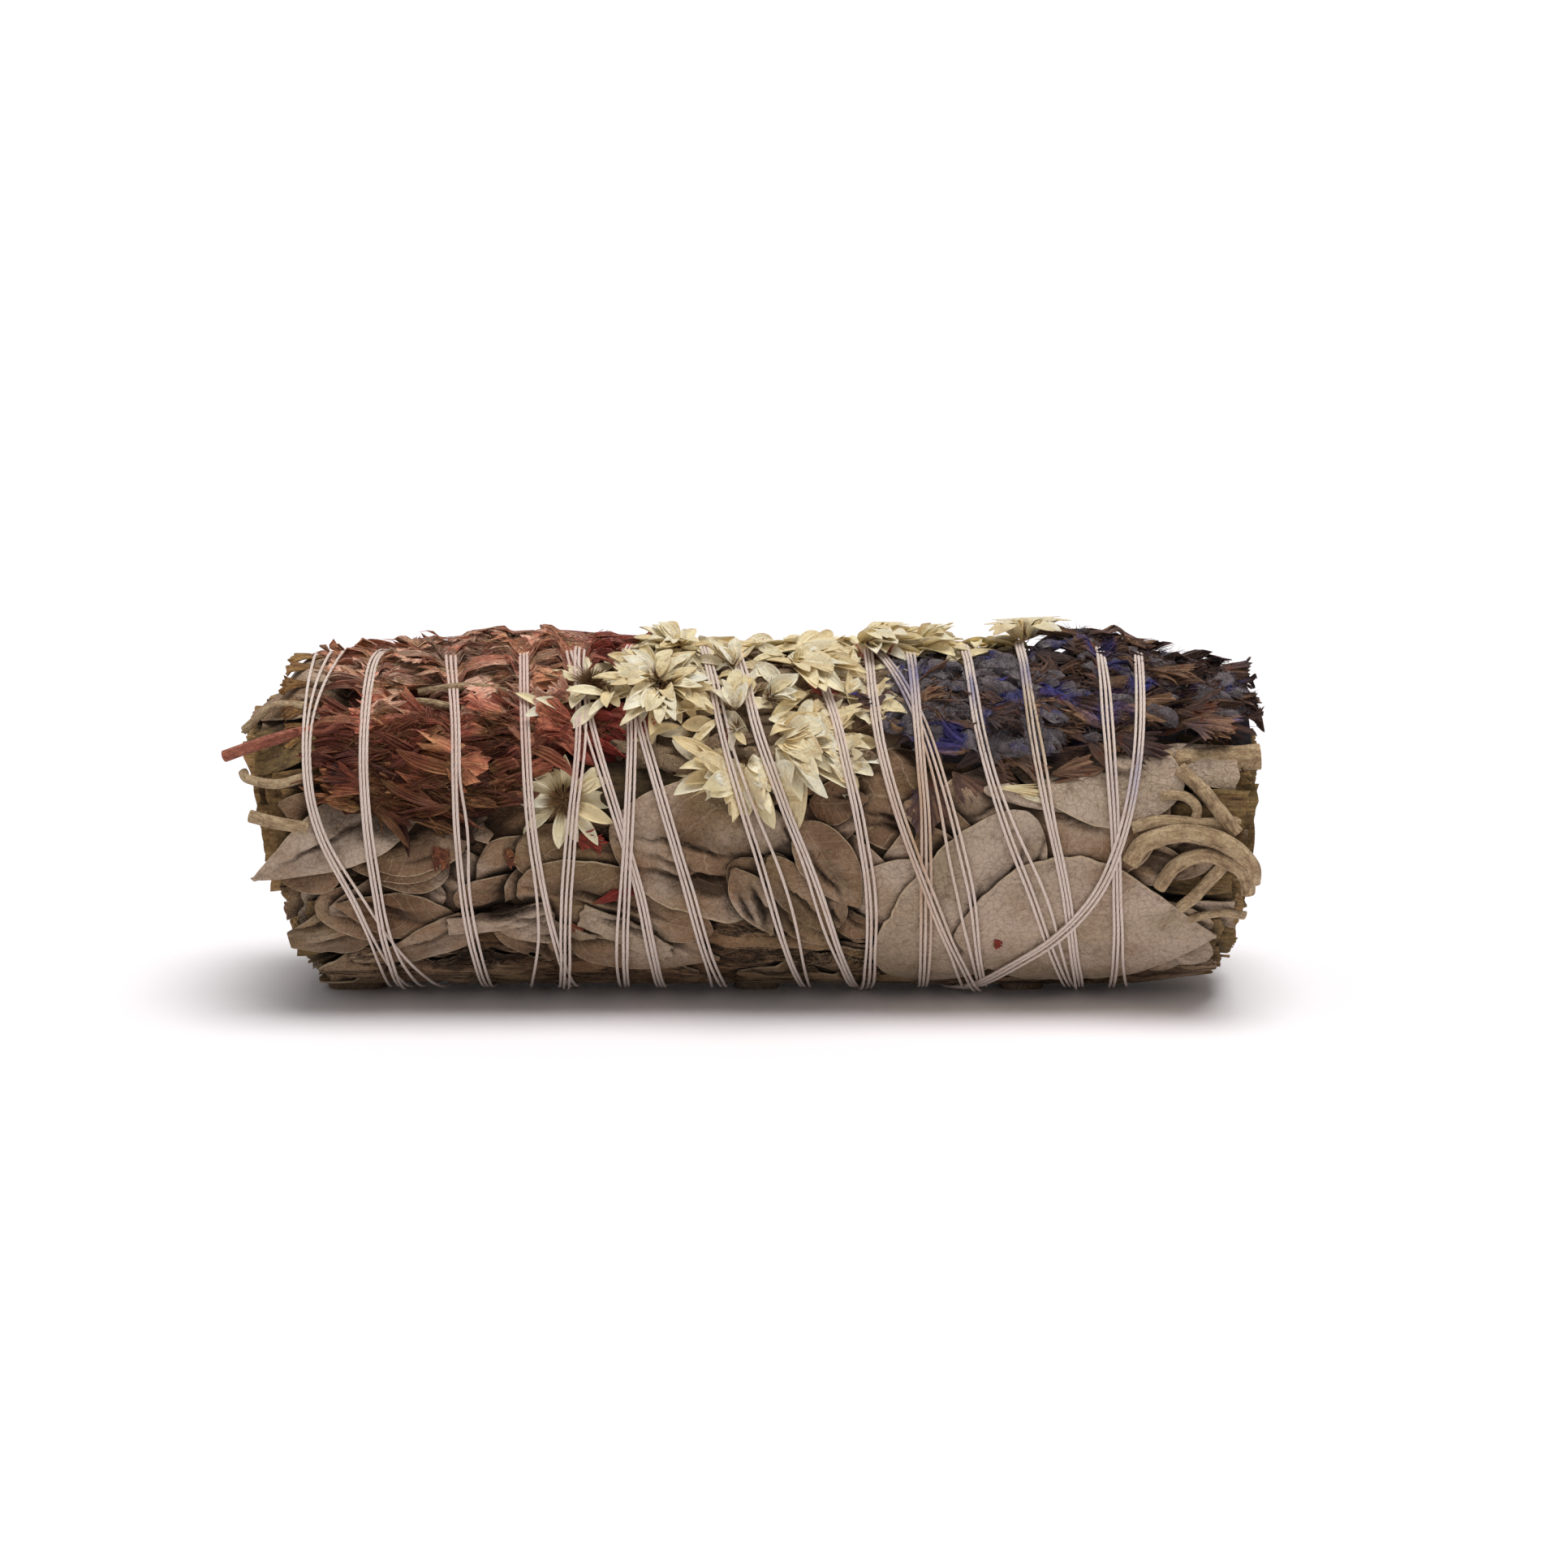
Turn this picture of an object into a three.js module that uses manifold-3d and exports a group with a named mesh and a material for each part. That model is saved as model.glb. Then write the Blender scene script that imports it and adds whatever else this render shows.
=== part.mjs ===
// A dried herb bundle: packed white sage wrapped in its own large leaves, dressed along the upper
// front with red, cream and blue dried flowers, and bound end to end with three-ply cotton string.
// Millimetres and degrees. The bundle lies along X, its dressed front faces -Y, and Z is up.
// Around the bundle, angle 0 is the front, 90 the top, 180 the back and -90 the underside.
import * as THREE from "three";
import { mergeVertices } from "three/addons/utils/BufferGeometryUtils.js";
import Module from "manifold-3d";

const wasm = await Module();
wasm.setup();

// Driving dimensions
const bundle = {
  leftEnd: -47, // middle of the slanted cut at the left
  rightEnd: 49.6,
  leftSlant: 3, // the cut's top reaches this much further out than its middle, its foot this much less
  rightSlant: 0.8,
  radius: 16.8, // of the surface that the string lies on
  axisHeight: 18.2,
  axisY: 0.14,
};
const string = {
  thread: 0.5,
  pitch: 0.54, // between neighbouring strands
  steps: 14, // straight runs in one turn
  layer: 0.6, // a turn that crosses an earlier one is lifted by this
  clearance: 0.62, // from the string's surface down to what lies under it
  freeHalfWidth: 1.5, // what stands proud keeps this far from the middle strand
};
const blade = { thickness: 0.6, gap: 0.35 };
const bed = { floor: 3.1, top: 0.85 }; // depths below the string's surface of the flowers' matted base
const bloom = { seat: 1.7, petalLength: 5.2, petalWidth: 2, petalThickness: 0.6 };

// Colours of the dried materials
const looks = {
  sage: { color: 0x9a8a76, roughness: 0.9 },
  sageInner: { color: 0x86745c, roughness: 0.95 },
  stem: { color: 0x9c7f58, roughness: 0.9 },
  red: { color: 0x8c4636, roughness: 0.9 },
  cream: { color: 0xd9c99a, roughness: 0.75 },
  felt: { color: 0x8d7c69, roughness: 1 },
  blue: { color: 0x4d4a5c, roughness: 1 },
  cotton: { color: 0xe6dccf, roughness: 0.85 },
};

// The string's turns, in the order in which it is wound: first to the right, then back. Each row
// holds the X of the middle strand at the station angles, read off the front of the bundle.
const stations = [90, 39, 10, -18, -62];
const turns = [
  [-42.4, -43.9, -43.3, -38.8, -34.6],
  [-30.2, -28.8, -28.8, -28.1, -26.8],
  [-22.8, -21.9, -21.4, -20.2, -18.4],
  [-18.2, -15.3, -12.5, -10.3, -9.0],
  [-12.6, -10.2, -7.8, -5.5, -3.1],
  [-4.4, -2.2, 0.3, 2.8, 5.4],
  [-1.4, 1.0, 4.4, 7.6, 10.5],
  [12.9, 18.2, 20.5, 22.6, 24.0],
  [22.1, 23.3, 25.7, 29.1, 32.5],
  [27.8, 28.8, 30.2, 32.1, 33.8],
  [35.9, 36.3, 36.9, 37.3, 37.7],
  [40.1, 39.6, 38.5, 35.8, 24.6],
  [16.5, 17.5, 18.0, 18.1, 18.2],
  [12.4, 13.2, 15.3, 18.6, 22.6],
  [5.4, 9.4, 11.3, 12.8, 12.7],
  [-12.1, -11.1, -11.5, -12.0, -12.3],
  [-17.2, -16.3, -17.1, -17.8, -18.4],
  [-37.6, -38.1, -37.9, -36.8, -35.4],
];
const lastTurnEndsAt = -41;

// The large leaves, outermost first. x and angle place the leaf's base, heading turns it from +X
// towards the top, and bend sweeps its tip sideways.
const leaves = [
  { name: "sage_leaf_front_right", x: 14.5, angle: -20, heading: -8, length: 31, width: 19, bend: 0 },
  { name: "sage_leaf_left_point", x: -35.2, angle: 9, heading: 201, length: 15.5, width: 8, bend: 1.5 },
  { name: "sage_leaf_middle_small", x: 5.6, angle: 8, heading: -58, length: 14, width: 7.5, bend: 0 },
  { name: "sage_leaf_middle_slim", x: 0.4, angle: 2, heading: -57, length: 15.5, width: 7, bend: 0 },
  { name: "sage_leaf_right_upper", x: 47.5, angle: 20, heading: 168, length: 24, width: 13, bend: -2 },
  { name: "sage_leaf_centre_pale", x: 19.5, angle: -10, heading: 216, length: 13, width: 9, bend: 0 },
  { name: "sage_leaf_middle_large", x: -14.5, angle: 2, heading: -17, length: 33, width: 18, bend: 0 },
  { name: "sage_leaf_right_veined", x: 42.5, angle: 16, heading: 192, length: 30, width: 17, bend: 1 },
  { name: "sage_leaf_brown", x: 26, angle: 14, heading: 176, length: 20, width: 12, bend: 0 },
  { name: "sage_leaf_left_low", x: -24, angle: -12, heading: 188, length: 19, width: 10, bend: 0 },
  { name: "sage_leaf_left_wrinkled", x: -30.5, angle: -3, heading: -4, length: 25, width: 13, bend: 0 },
  { name: "sage_leaf_left_crest", x: -50, angle: 66, heading: 4, length: 17, width: 13, bend: 0 },
  { name: "sage_leaf_low_middle", x: -17, angle: -50, heading: 5, length: 41, width: 12, bend: 1.5 },
  { name: "sage_leaf_low_left", x: -43.4, angle: -50, heading: 3, length: 36, width: 13, bend: 0 },
  { name: "sage_leaf_low_right", x: 48, angle: -64, heading: 184, length: 36, width: 15, bend: 0 },
  { name: "sage_leaf_under_left", x: -1, angle: -86, heading: 180, length: 43, width: 19, bend: 0 },
  { name: "sage_leaf_under_right", x: -6, angle: -90, heading: 2, length: 47, width: 19, bend: 0 },
  { name: "sage_leaf_back_low_left", x: -46, angle: -136, heading: 4, length: 46, width: 20, bend: 0 },
  { name: "sage_leaf_back_low_right", x: 49.4, angle: -132, heading: 183, length: 50, width: 20, bend: 0 },
  { name: "sage_leaf_back_high_right", x: 3, angle: -186, heading: -3, length: 46, width: 20, bend: 0 },
  { name: "sage_leaf_back_high_left", x: 8, angle: -184, heading: 176, length: 50, width: 20, bend: 0 },
  { name: "sage_leaf_back_top_left", x: -48, angle: -226, heading: -2, length: 42, width: 15, bend: 0 },
  { name: "sage_leaf_back_top_right", x: -12, angle: -226, heading: 1, length: 46, width: 15, bend: 0 },
];

// Flower heads: open ones lie flat like a star, closed ones point along their heading like a bud,
// and lift raises the upper petals' tips.
const blooms = [
  { name: "cream_bloom_star", x: -17.2, angle: 14, petals: 12, open: 1, scale: 1, heading: 0 },
  { name: "cream_bloom_left", x: -15.2, angle: 60, petals: 8, open: 0.9, scale: 0.86, heading: 20 },
  { name: "cream_bloom_full", x: -7.6, angle: 56, petals: 10, open: 0.7, scale: 1.12, heading: -70 },
  { name: "cream_bloom_crest", x: -8.2, angle: 84, petals: 8, open: 0.6, scale: 0.95, heading: -20 },
  { name: "cream_bloom_upright", x: -0.6, angle: 66, petals: 8, open: 0.35, scale: 0.95, heading: 95 },
  { name: "cream_bloom_low_left", x: -2.6, angle: 22, petals: 11, open: 0.8, scale: 1.1, heading: 200 },
  { name: "cream_bloom_low_right", x: 7, angle: 27, petals: 10, open: 0.6, scale: 1.05, heading: -35 },
  { name: "cream_bloom_speckled", x: 7, angle: 64, petals: 8, open: 0.6, scale: 0.95, heading: 15 },
  { name: "cream_bloom_bud", x: 11.8, angle: 45, petals: 6, open: 0.32, scale: 0.8, heading: 12 },
  { name: "cream_bloom_top_middle", x: 15.6, angle: 96, petals: 9, open: 0.55, scale: 1, heading: -10, lift: 0.8 },
  { name: "cream_bloom_top_right", x: 25.2, angle: 97, petals: 8, open: 0.25, scale: 1, heading: -80, lift: 2.6 },
];

// The matted sprays of small dyed flowers. low and high bound each one around the bundle.
const sprays = [
  {
    name: "red_spray_front",
    look: looks.red,
    x: [-41, -12.4],
    low: (x) => 9 + 25 * ramp(-27, -17, x),
    high: () => 53,
    florets: 14,
    length: [5, 7.5],
    width: 3.4,
    seed: 11,
  },
  {
    name: "red_spray_top",
    look: looks.red,
    x: [-40, -13.4],
    low: () => 57,
    high: () => 111,
    florets: 13,
    length: [5, 7.5],
    width: 3.4,
    seed: 23,
  },
  {
    name: "blue_spray_left",
    look: looks.blue,
    x: [14.2, 31.4],
    low: (x) => 29 + 12 * ramp(20, 14, x),
    high: (x) => 80 + 8 * ramp(29, 31, x),
    florets: 10,
    length: [4.5, 6.5],
    width: 3,
    seed: 37,
  },
  {
    name: "blue_spray_right",
    look: looks.blue,
    x: [32, 51],
    low: (x) => 33 + 9 * ramp(34, 39, x),
    high: () => 112,
    florets: 11,
    length: [4.5, 6.5],
    width: 2.8,
    seed: 41,
  },
];

// Stalks that lie along the bundle. Each point is [x, angle, depth below the string's surface].
const stalks = [
  {
    name: "red_stem",
    look: looks.red,
    radius: 0.85,
    points: [[-52.3, 34, 0.4], [-47, 38, 1.2], [-42.5, 42, 1.95], [-41.8, 43, 2]],
  },
  {
    name: "cream_stem_upper",
    look: looks.felt,
    radius: 0.6,
    points: [[-11.4, 72, 2.45], [-4, 74, 2.45], [4, 73, 2.45], [12.6, 76, 2.45]],
  },
  {
    name: "cream_stem_middle",
    look: looks.felt,
    radius: 0.65,
    points: [[-11.4, 46, 2.45], [-3, 45, 2.45], [5, 48, 2.45], [12.8, 52, 2.45]],
  },
  {
    name: "cream_stem_lower",
    look: looks.felt,
    radius: 0.6,
    points: [[-11.2, 35, 2.45], [-4, 33, 2.45], [4, 34, 2.45], [12.6, 38, 2.45]],
  },
  {
    name: "cream_stem_crest",
    look: looks.felt,
    radius: 0.6,
    points: [[-12, 100, 2.45], [-2, 103, 2.45], [9, 102, 2.45], [20, 101, 2.45], [31, 103, 2.45]],
  },
  {
    name: "sage_petiole_outer",
    look: looks.stem,
    radius: 0.75,
    points: [[41.4, -16, 0.4], [43, -7, -0.3], [45.6, -3, -0.6], [48.4, -6, -0.4], [50, -12, 0.2], [50.4, -19, 0.6]],
  },
  {
    name: "sage_petiole_long",
    look: looks.stem,
    radius: 0.75,
    points: [[43.4, 27, 0.2], [45.6, 19, -0.2], [47.4, 11, -0.1], [49, 4, 0.4]],
  },
  {
    name: "sage_stem_end_right",
    look: looks.stem,
    radius: 1.3,
    points: [[43.5, 33, 2.3], [47, 33.5, 1.9], [51.6, 34.5, 1.6]],
  },
];
const stemSides = 6;

const endPieces = { edges: 7, stems: 3 }; // standing out of each end of the packed heart

// Folds of leaf that bulge between the turns underneath, on whose flat feet the bundle rests.
const feet = [
  { name: "sage_fold_under_left", x: -40.2, length: 6.4, width: 9 },
  { name: "sage_fold_under_middle", x: 1.1, length: 5, width: 9 },
  { name: "sage_fold_under_right", x: 28.4, length: 5, width: 9 },
];

// Shapes of the whole bundle

function radians(degrees) {
  return (degrees * Math.PI) / 180;
}

function ramp(from, to, x) {
  const t = Math.min(1, Math.max(0, (x - from) / (to - from)));
  return t * t * (3 - 2 * t);
}

// A repeatable stream of numbers from 0 to 1.
function drawFrom(seed) {
  let state = seed * 2654435761;
  return () => {
    state = (Math.imul(state ^ (state >>> 15), 2246822519) + 3266489917) >>> 0;
    return ((state ^ (state >>> 13)) >>> 0) / 4294967296;
  };
}

// The radius of the surface that the string lies on: nearly round, with low lumps, falling away
// at the top of both ends.
function bindRadius(x, angle) {
  const a = radians(angle);
  const lumps = 0.22 * Math.sin(0.12 * x + 2 * a) + 0.16 * Math.sin(0.27 * x - a + 1);
  const top = Math.max(0, Math.sin(a));
  const foot = Math.max(0, -Math.sin(a));
  const rightFall = (2.4 * top + 1.2 * foot) * ramp(38, 51, x);
  const leftFall = 3.6 * top * ramp(-42, -50, x);
  const evenFoot = 1 - foot;
  return bundle.radius + lumps * evenFoot - rightFall - leftFall;
}

function place(x, angle, r) {
  const a = radians(angle);
  return new THREE.Vector3(x, bundle.axisY - r * Math.cos(a), bundle.axisHeight + r * Math.sin(a));
}

function atDepth(x, angle, depth) {
  return place(x, angle, bindRadius(x, angle) - depth);
}

// X of the middle strand of one turn at an angle from 90 down to -270.
function turnX(turn, angle) {
  const next = turn + 1 < turns.length ? turns[turn + 1][0] : lastTurnEndsAt;
  const under = turns[turn].at(-1);
  const angles = [...stations, -125, -270];
  const xs = [...turns[turn], under + 0.2 * (next - under), next];
  let i = 0;
  while (i < angles.length - 2 && angle < angles[i + 1]) i++;
  const t = (angle - angles[i]) / (angles[i + 1] - angles[i]);
  return xs[i] + (xs[i + 1] - xs[i]) * t;
}

// How far along X the nearest turn of string is.
function awayFromString(x, angle) {
  let folded = angle;
  while (folded > 90) folded -= 360;
  return Math.min(...turns.map((_, turn) => Math.abs(x - turnX(turn, folded))));
}

// A radius pressed under the string where a turn crosses, and free between the turns.
function pressed(x, angle, r) {
  const rise = 3 * Math.max(0, awayFromString(x, angle) - string.freeHalfWidth);
  return Math.min(r, bindRadius(x, angle) - string.clearance - 0.1 + rise);
}

// How deep the surface under the flowers lies below the string's surface.
function flowerSeat(x, angle) {
  let depth = 0;
  for (const spray of sprays) {
    const inX = ramp(spray.x[0] - 2.5, spray.x[0] - 0.5, x) * ramp(spray.x[1] + 2.5, spray.x[1] + 0.5, x);
    const inAngle = ramp(spray.low(x) - 10, spray.low(x) - 4, angle) * ramp(spray.high(x) + 10, spray.high(x) + 4, angle);
    depth = Math.max(depth, (bed.floor + blade.gap) * inX * inAngle);
  }
  for (const stalk of stalks) {
    const last = stalk.points.length - 1;
    for (let i = 0; i < last; i++) {
      for (const t of [0, 0.5, 1]) {
        const [sx, sa, sd] = stalk.points[i].map((value, k) => value + (stalk.points[i + 1][k] - value) * t);
        const away = Math.hypot((x - sx) * 0.8, radians(angle - sa) * bundle.radius);
        depth = Math.max(depth, (sd + stalk.radius + blade.gap) * ramp(6.5, 3.5, away));
      }
    }
  }
  return Math.max(depth, bloomSeat(x, angle, 3));
}

function bloomSeat(x, angle, margin) {
  let depth = 0;
  for (const { x: bx, angle: ba, scale } of blooms) {
    const away = Math.hypot(x - bx, radians(angle - ba) * bundle.radius);
    const reach = bloom.petalLength * scale;
    depth = Math.max(depth, (bloom.seat + 0.4) * ramp(reach + margin + 1.5, reach + margin - 1, away));
  }
  return depth;
}

// The room that is left inside what has been laid so far, as a radius at each x and angle.
const room = {
  xFrom: -56,
  xStep: 1,
  xCount: 113,
  angleStep: 3,
  angleCount: 120,
  radii: [],
};
for (let i = 0; i < room.xCount; i++) {
  for (let j = 0; j < room.angleCount; j++) {
    const x = room.xFrom + i * room.xStep;
    const angle = -240 + j * room.angleStep;
    room.radii.push(bindRadius(x, angle) - Math.max(string.clearance, flowerSeat(x, angle)));
  }
}

function roomAt(i, j) {
  const row = Math.min(room.xCount - 1, Math.max(0, i));
  const column = ((j % room.angleCount) + room.angleCount) % room.angleCount;
  return row * room.angleCount + column;
}

// The room at a place: the least of the four cells round it.
function roomNear(x, angle) {
  const i = (x - room.xFrom) / room.xStep;
  const j = (angle + 240) / room.angleStep;
  let least = Infinity;
  for (const p of [Math.floor(i), Math.ceil(i)]) {
    for (const q of [Math.floor(j), Math.ceil(j)]) least = Math.min(least, room.radii[roomAt(p, q)]);
  }
  return least;
}

// Calls back for places spread over each four-cornered patch of a grid of { x, angle, r }.
function overPatches(grid, spacing, call) {
  for (let i = 0; i + 1 < grid.length; i++) {
    for (let j = 0; j + 1 < grid[i].length; j++) {
      const corners = [grid[i][j], grid[i][j + 1], grid[i + 1][j], grid[i + 1][j + 1]];
      const first = corners[0].angle;
      const angles = corners.map(({ angle }) => first + ((((angle - first + 180) % 360) + 360) % 360) - 180);
      const xs = corners.map(({ x }) => x);
      const wide = radians(Math.max(...angles) - Math.min(...angles));
      const long = Math.max(Math.max(...xs) - Math.min(...xs), wide * bundle.radius);
      const sag = corners[0].r * (1 - Math.cos(wide / 2));
      const steps = Math.ceil(long / spacing);
      for (let p = 0; p <= steps; p++) {
        for (let q = 0; q <= steps; q++) {
          const [s, t] = [p / steps, q / steps];
          const weights = [(1 - s) * (1 - t), (1 - s) * t, s * (1 - t), s * t];
          const mix = (values) => values.reduce((sum, value, k) => sum + value * weights[k], 0);
          call({ x: mix(xs), angle: mix(angles), r: mix(corners.map(({ r }) => r)), corners, weights, sag });
        }
      }
    }
  }
}

// Lowers a grid's corners until all of it fits in the room.
function settle(grid) {
  for (let sweep = 0; sweep < 8; sweep++) {
    overPatches(grid, 1, ({ x, angle, r, corners, weights }) => {
      const excess = r - roomNear(x, angle);
      if (excess <= 0) return;
      const share = sweep < 7 ? excess / weights.reduce((sum, weight) => sum + weight * weight, 0) : excess;
      corners.forEach((corner, k) => (corner.r -= share * (sweep < 7 ? weights[k] : 1)));
    });
  }
}

// Lowers the room to a gap below the inner face of a laid grid.
function takeRoom(grid, thickness) {
  overPatches(grid, 0.5, ({ x, angle, r, sag }) => {
    const cell = roomAt(Math.round((x - room.xFrom) / room.xStep), Math.round((angle + 240) / room.angleStep));
    room.radii[cell] = Math.min(room.radii[cell], r - thickness - sag - blade.gap);
  });
}

// Solids

// A closed three.js geometry as a solid, turned right side out.
function solid(geometry) {
  const bare = new THREE.BufferGeometry();
  bare.setAttribute("position", geometry.getAttribute("position"));
  if (geometry.index) bare.setIndex(geometry.index);
  const merged = mergeVertices(bare, 1e-4);
  const triVerts = Uint32Array.from(merged.index.array);
  const vertProperties = Float32Array.from(merged.attributes.position.array);
  const made = new wasm.Manifold(new wasm.Mesh({ numProp: 3, vertProperties, triVerts }));
  if (made.volume() > 0) return made;
  for (let i = 0; i < triVerts.length; i += 3) [triVerts[i + 1], triVerts[i + 2]] = [triVerts[i + 2], triVerts[i + 1]];
  return new wasm.Manifold(new wasm.Mesh({ numProp: 3, vertProperties, triVerts }));
}

function geometryOf(made) {
  const mesh = made.getMesh();
  const geometry = new THREE.BufferGeometry();
  geometry.setAttribute("position", new THREE.BufferAttribute(Float32Array.from(mesh.vertProperties), 3));
  geometry.setIndex(new THREE.BufferAttribute(Uint32Array.from(mesh.triVerts), 1));
  return geometry;
}

function fused(solids) {
  return solids.reduce((whole, piece) => whole.add(piece));
}

// The largest body of a solid: a loose scrap is dropped.
function largest(made) {
  return made.decompose().reduce((best, body) => (body.volume() > best.volume() ? body : best));
}

// A closed solid swept through rings of points, all of one count, with a flat end at each.
function swept(rings) {
  const sides = rings[0].length;
  const positions = rings.flat().flatMap((p) => [p.x, p.y, p.z]);
  const index = [];
  for (let i = 0; i + 1 < rings.length; i++) {
    for (let k = 0; k < sides; k++) {
      const a = i * sides + k;
      const b = i * sides + ((k + 1) % sides);
      index.push(a, b, a + sides, b, b + sides, a + sides);
    }
  }
  const last = (rings.length - 1) * sides;
  for (let k = 1; k + 1 < sides; k++) index.push(0, k + 1, k, last, last + k, last + k + 1);
  const geometry = new THREE.BufferGeometry();
  geometry.setAttribute("position", new THREE.Float32BufferAttribute(positions, 3));
  geometry.setIndex(index);
  return solid(geometry);
}

// A closed sheet between an outer and an inner grid of points, split into triangles alike.
function sheet(outer, inner) {
  const rows = outer.length;
  const columns = outer[0].length;
  const positions = [...outer.flat(), ...inner.flat()].flatMap((p) => [p.x, p.y, p.z]);
  const under = rows * columns;
  const index = [];
  for (let i = 0; i + 1 < rows; i++) {
    for (let j = 0; j + 1 < columns; j++) {
      const a = i * columns + j;
      const [b, c, d] = [a + 1, a + columns, a + columns + 1];
      index.push(a, b, c, b, d, c);
      index.push(under + a, under + c, under + b, under + b, under + c, under + d);
    }
  }
  const rim = [];
  for (let j = 0; j < columns; j++) rim.push(j);
  for (let i = 1; i < rows; i++) rim.push(i * columns + columns - 1);
  for (let j = columns - 2; j >= 0; j--) rim.push((rows - 1) * columns + j);
  for (let i = rows - 2; i > 0; i--) rim.push(i * columns);
  rim.forEach((a, k) => {
    const b = rim[(k + 1) % rim.length];
    index.push(a, under + a, b, b, under + a, under + b);
  });
  const geometry = new THREE.BufferGeometry();
  geometry.setAttribute("position", new THREE.Float32BufferAttribute(positions, 3));
  geometry.setIndex(index);
  return solid(geometry);
}

// Pieces

// A lance-shaped leaf laid under all that was laid before it. Its blade follows the bundle.
function sageLeaf({ x, angle, heading, length, width, bend }, random) {
  const rows = Math.max(5, Math.round(length / 5.8));
  const columns = Math.max(2, Math.round(width / 5.2));
  const [along, across] = [Math.cos(radians(heading)), Math.sin(radians(heading))];
  const grid = [];
  for (let i = 0; i <= rows; i++) {
    const u = i / rows;
    const half = Math.max(0.5, (width / 2) * Math.sin(Math.PI * u ** 0.8) ** 0.75);
    grid.push([]);
    for (let j = 0; j <= columns; j++) {
      const v = (2 * j) / columns - 1;
      const side = half * v + bend * u * u;
      const px = x + along * u * length - across * side;
      const around = across * u * length + along * side;
      const pa = angle + (around / bundle.radius) * (180 / Math.PI);
      grid[i].push({ x: px, angle: pa, r: roomNear(px, pa) - 0.2 * random() - 0.15 * v * v });
    }
  }
  settle(grid);
  takeRoom(grid, blade.thickness);
  const face = (depth) => grid.map((row) => row.map((point) => place(point.x, point.angle, point.r - depth)));
  return sheet(face(0), face(blade.thickness));
}

function endX(side, angle, r) {
  const slant = (r / bundle.radius) * Math.sin(radians(angle));
  return side < 0 ? bundle.leftEnd - bundle.leftSlant * slant : bundle.rightEnd + bundle.rightSlant * slant;
}

// The packed heart of the bundle, swelled to the room that the leaves leave, with rolled leaf
// edges and cut stems standing out of both ends.
function packedSage() {
  const random = drawFrom(6);
  const around = 24;
  const lengths = 13;
  const grid = [];
  for (let i = 0; i <= lengths; i++) {
    grid.push([]);
    for (let k = 0; k < around; k++) {
      const angle = (360 / around) * k;
      const left = endX(-1, angle, 12);
      const x = left + (endX(1, angle, 12) - left) * (i / lengths);
      grid[i].push({ x, angle, r: roomNear(x, angle) - 0.3 * random() });
    }
  }
  settle(grid.map((ring) => [...ring, ring[0]]));
  const pieces = [swept(grid.map((ring) => ring.map(({ x, angle, r }) => place(x, angle, r))))];
  for (const side of [-1, 1]) {
    for (let n = 0; n < endPieces.edges; n++) pieces.push(rolledEdge(side, n, random));
    for (let n = 0; n < endPieces.stems; n++) pieces.push(cutStem(side, n, random));
  }
  return largest(fused(pieces));
}

// One curled leaf edge at an end: an arc of blade, ragged where it was cut.
function rolledEdge(side, n, random) {
  const wanted = 3.4 + 1.35 * n;
  const start = n * 137.5;
  const sweep = (60 + 50 * random()) * Math.min(1.6, 9 / wanted);
  const steps = 3;
  const rings = [];
  for (let i = 0; i <= steps; i++) {
    const angle = start + (sweep * i) / steps;
    const out = 0.7 + 1.7 * random();
    const face = endX(side, angle, wanted);
    const r = Math.min(wanted, roomNear(face, angle) - 1, roomNear(face - side * 2.5, angle) - 1) + 0.12 * random();
    rings.push([
      place(face - side * 2.5, angle, r - 0.35),
      place(face - side * 2.5, angle, r + 0.35),
      place(face + side * out, angle, r + 0.35),
      place(face + side * (out - 0.4), angle, r - 0.35),
    ]);
  }
  return swept(rings);
}

// One woody stem cut across at an end.
function cutStem(side, n, random) {
  const angle = 40 + n * 77;
  const r = 3.5 + 5 * random();
  const out = 0.8 + 1.4 * random();
  const radius = 0.9 + 0.5 * random();
  const middle = place(0, angle, r);
  const face = endX(side, angle, r);
  const ring = (x) =>
    [0, 1, 2, 3, 4, 5].map((k) => {
      const turn = (k * Math.PI) / 3;
      return new THREE.Vector3(x, middle.y + radius * Math.cos(turn), middle.z + radius * Math.sin(turn));
    });
  return swept([ring(face - side * 3), ring(face + side * out)]);
}

// A stalk of round section through points given as [x, angle, depth].
function stalkOf({ points, radius }) {
  const curve = new THREE.CatmullRomCurve3(points.map(([x, angle, depth]) => atDepth(x, angle, depth)));
  const steps = points.length * 2;
  const frames = curve.computeFrenetFrames(steps);
  const rings = [];
  for (let i = 0; i <= steps; i++) {
    const centre = curve.getPointAt(i / steps);
    rings.push([]);
    for (let k = 0; k < stemSides; k++) {
      const turn = (2 * Math.PI * k) / stemSides;
      const out = frames.normals[i].clone().multiplyScalar(Math.cos(turn));
      out.addScaledVector(frames.binormals[i], Math.sin(turn));
      rings[i].push(centre.clone().addScaledVector(out, radius));
    }
  }
  return swept(rings);
}

// Directions on the bundle's surface: along a heading, across it and outwards.
function surfaceFrame(angle, heading) {
  const a = radians(angle);
  const out = new THREE.Vector3(0, -Math.cos(a), Math.sin(a));
  const around = new THREE.Vector3(0, Math.sin(a), Math.cos(a));
  const along = new THREE.Vector3(Math.cos(radians(heading)), 0, 0).addScaledVector(around, Math.sin(radians(heading)));
  return { along, across: new THREE.Vector3().crossVectors(out, along), out };
}

// A point kept under the string where a turn crosses it.
function keepPressed(point) {
  const angle = (Math.atan2(point.z - bundle.axisHeight, bundle.axisY - point.y) * 180) / Math.PI;
  const r = Math.hypot(point.z - bundle.axisHeight, point.y - bundle.axisY);
  return place(point.x, angle, pressed(point.x, angle, r));
}

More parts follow.
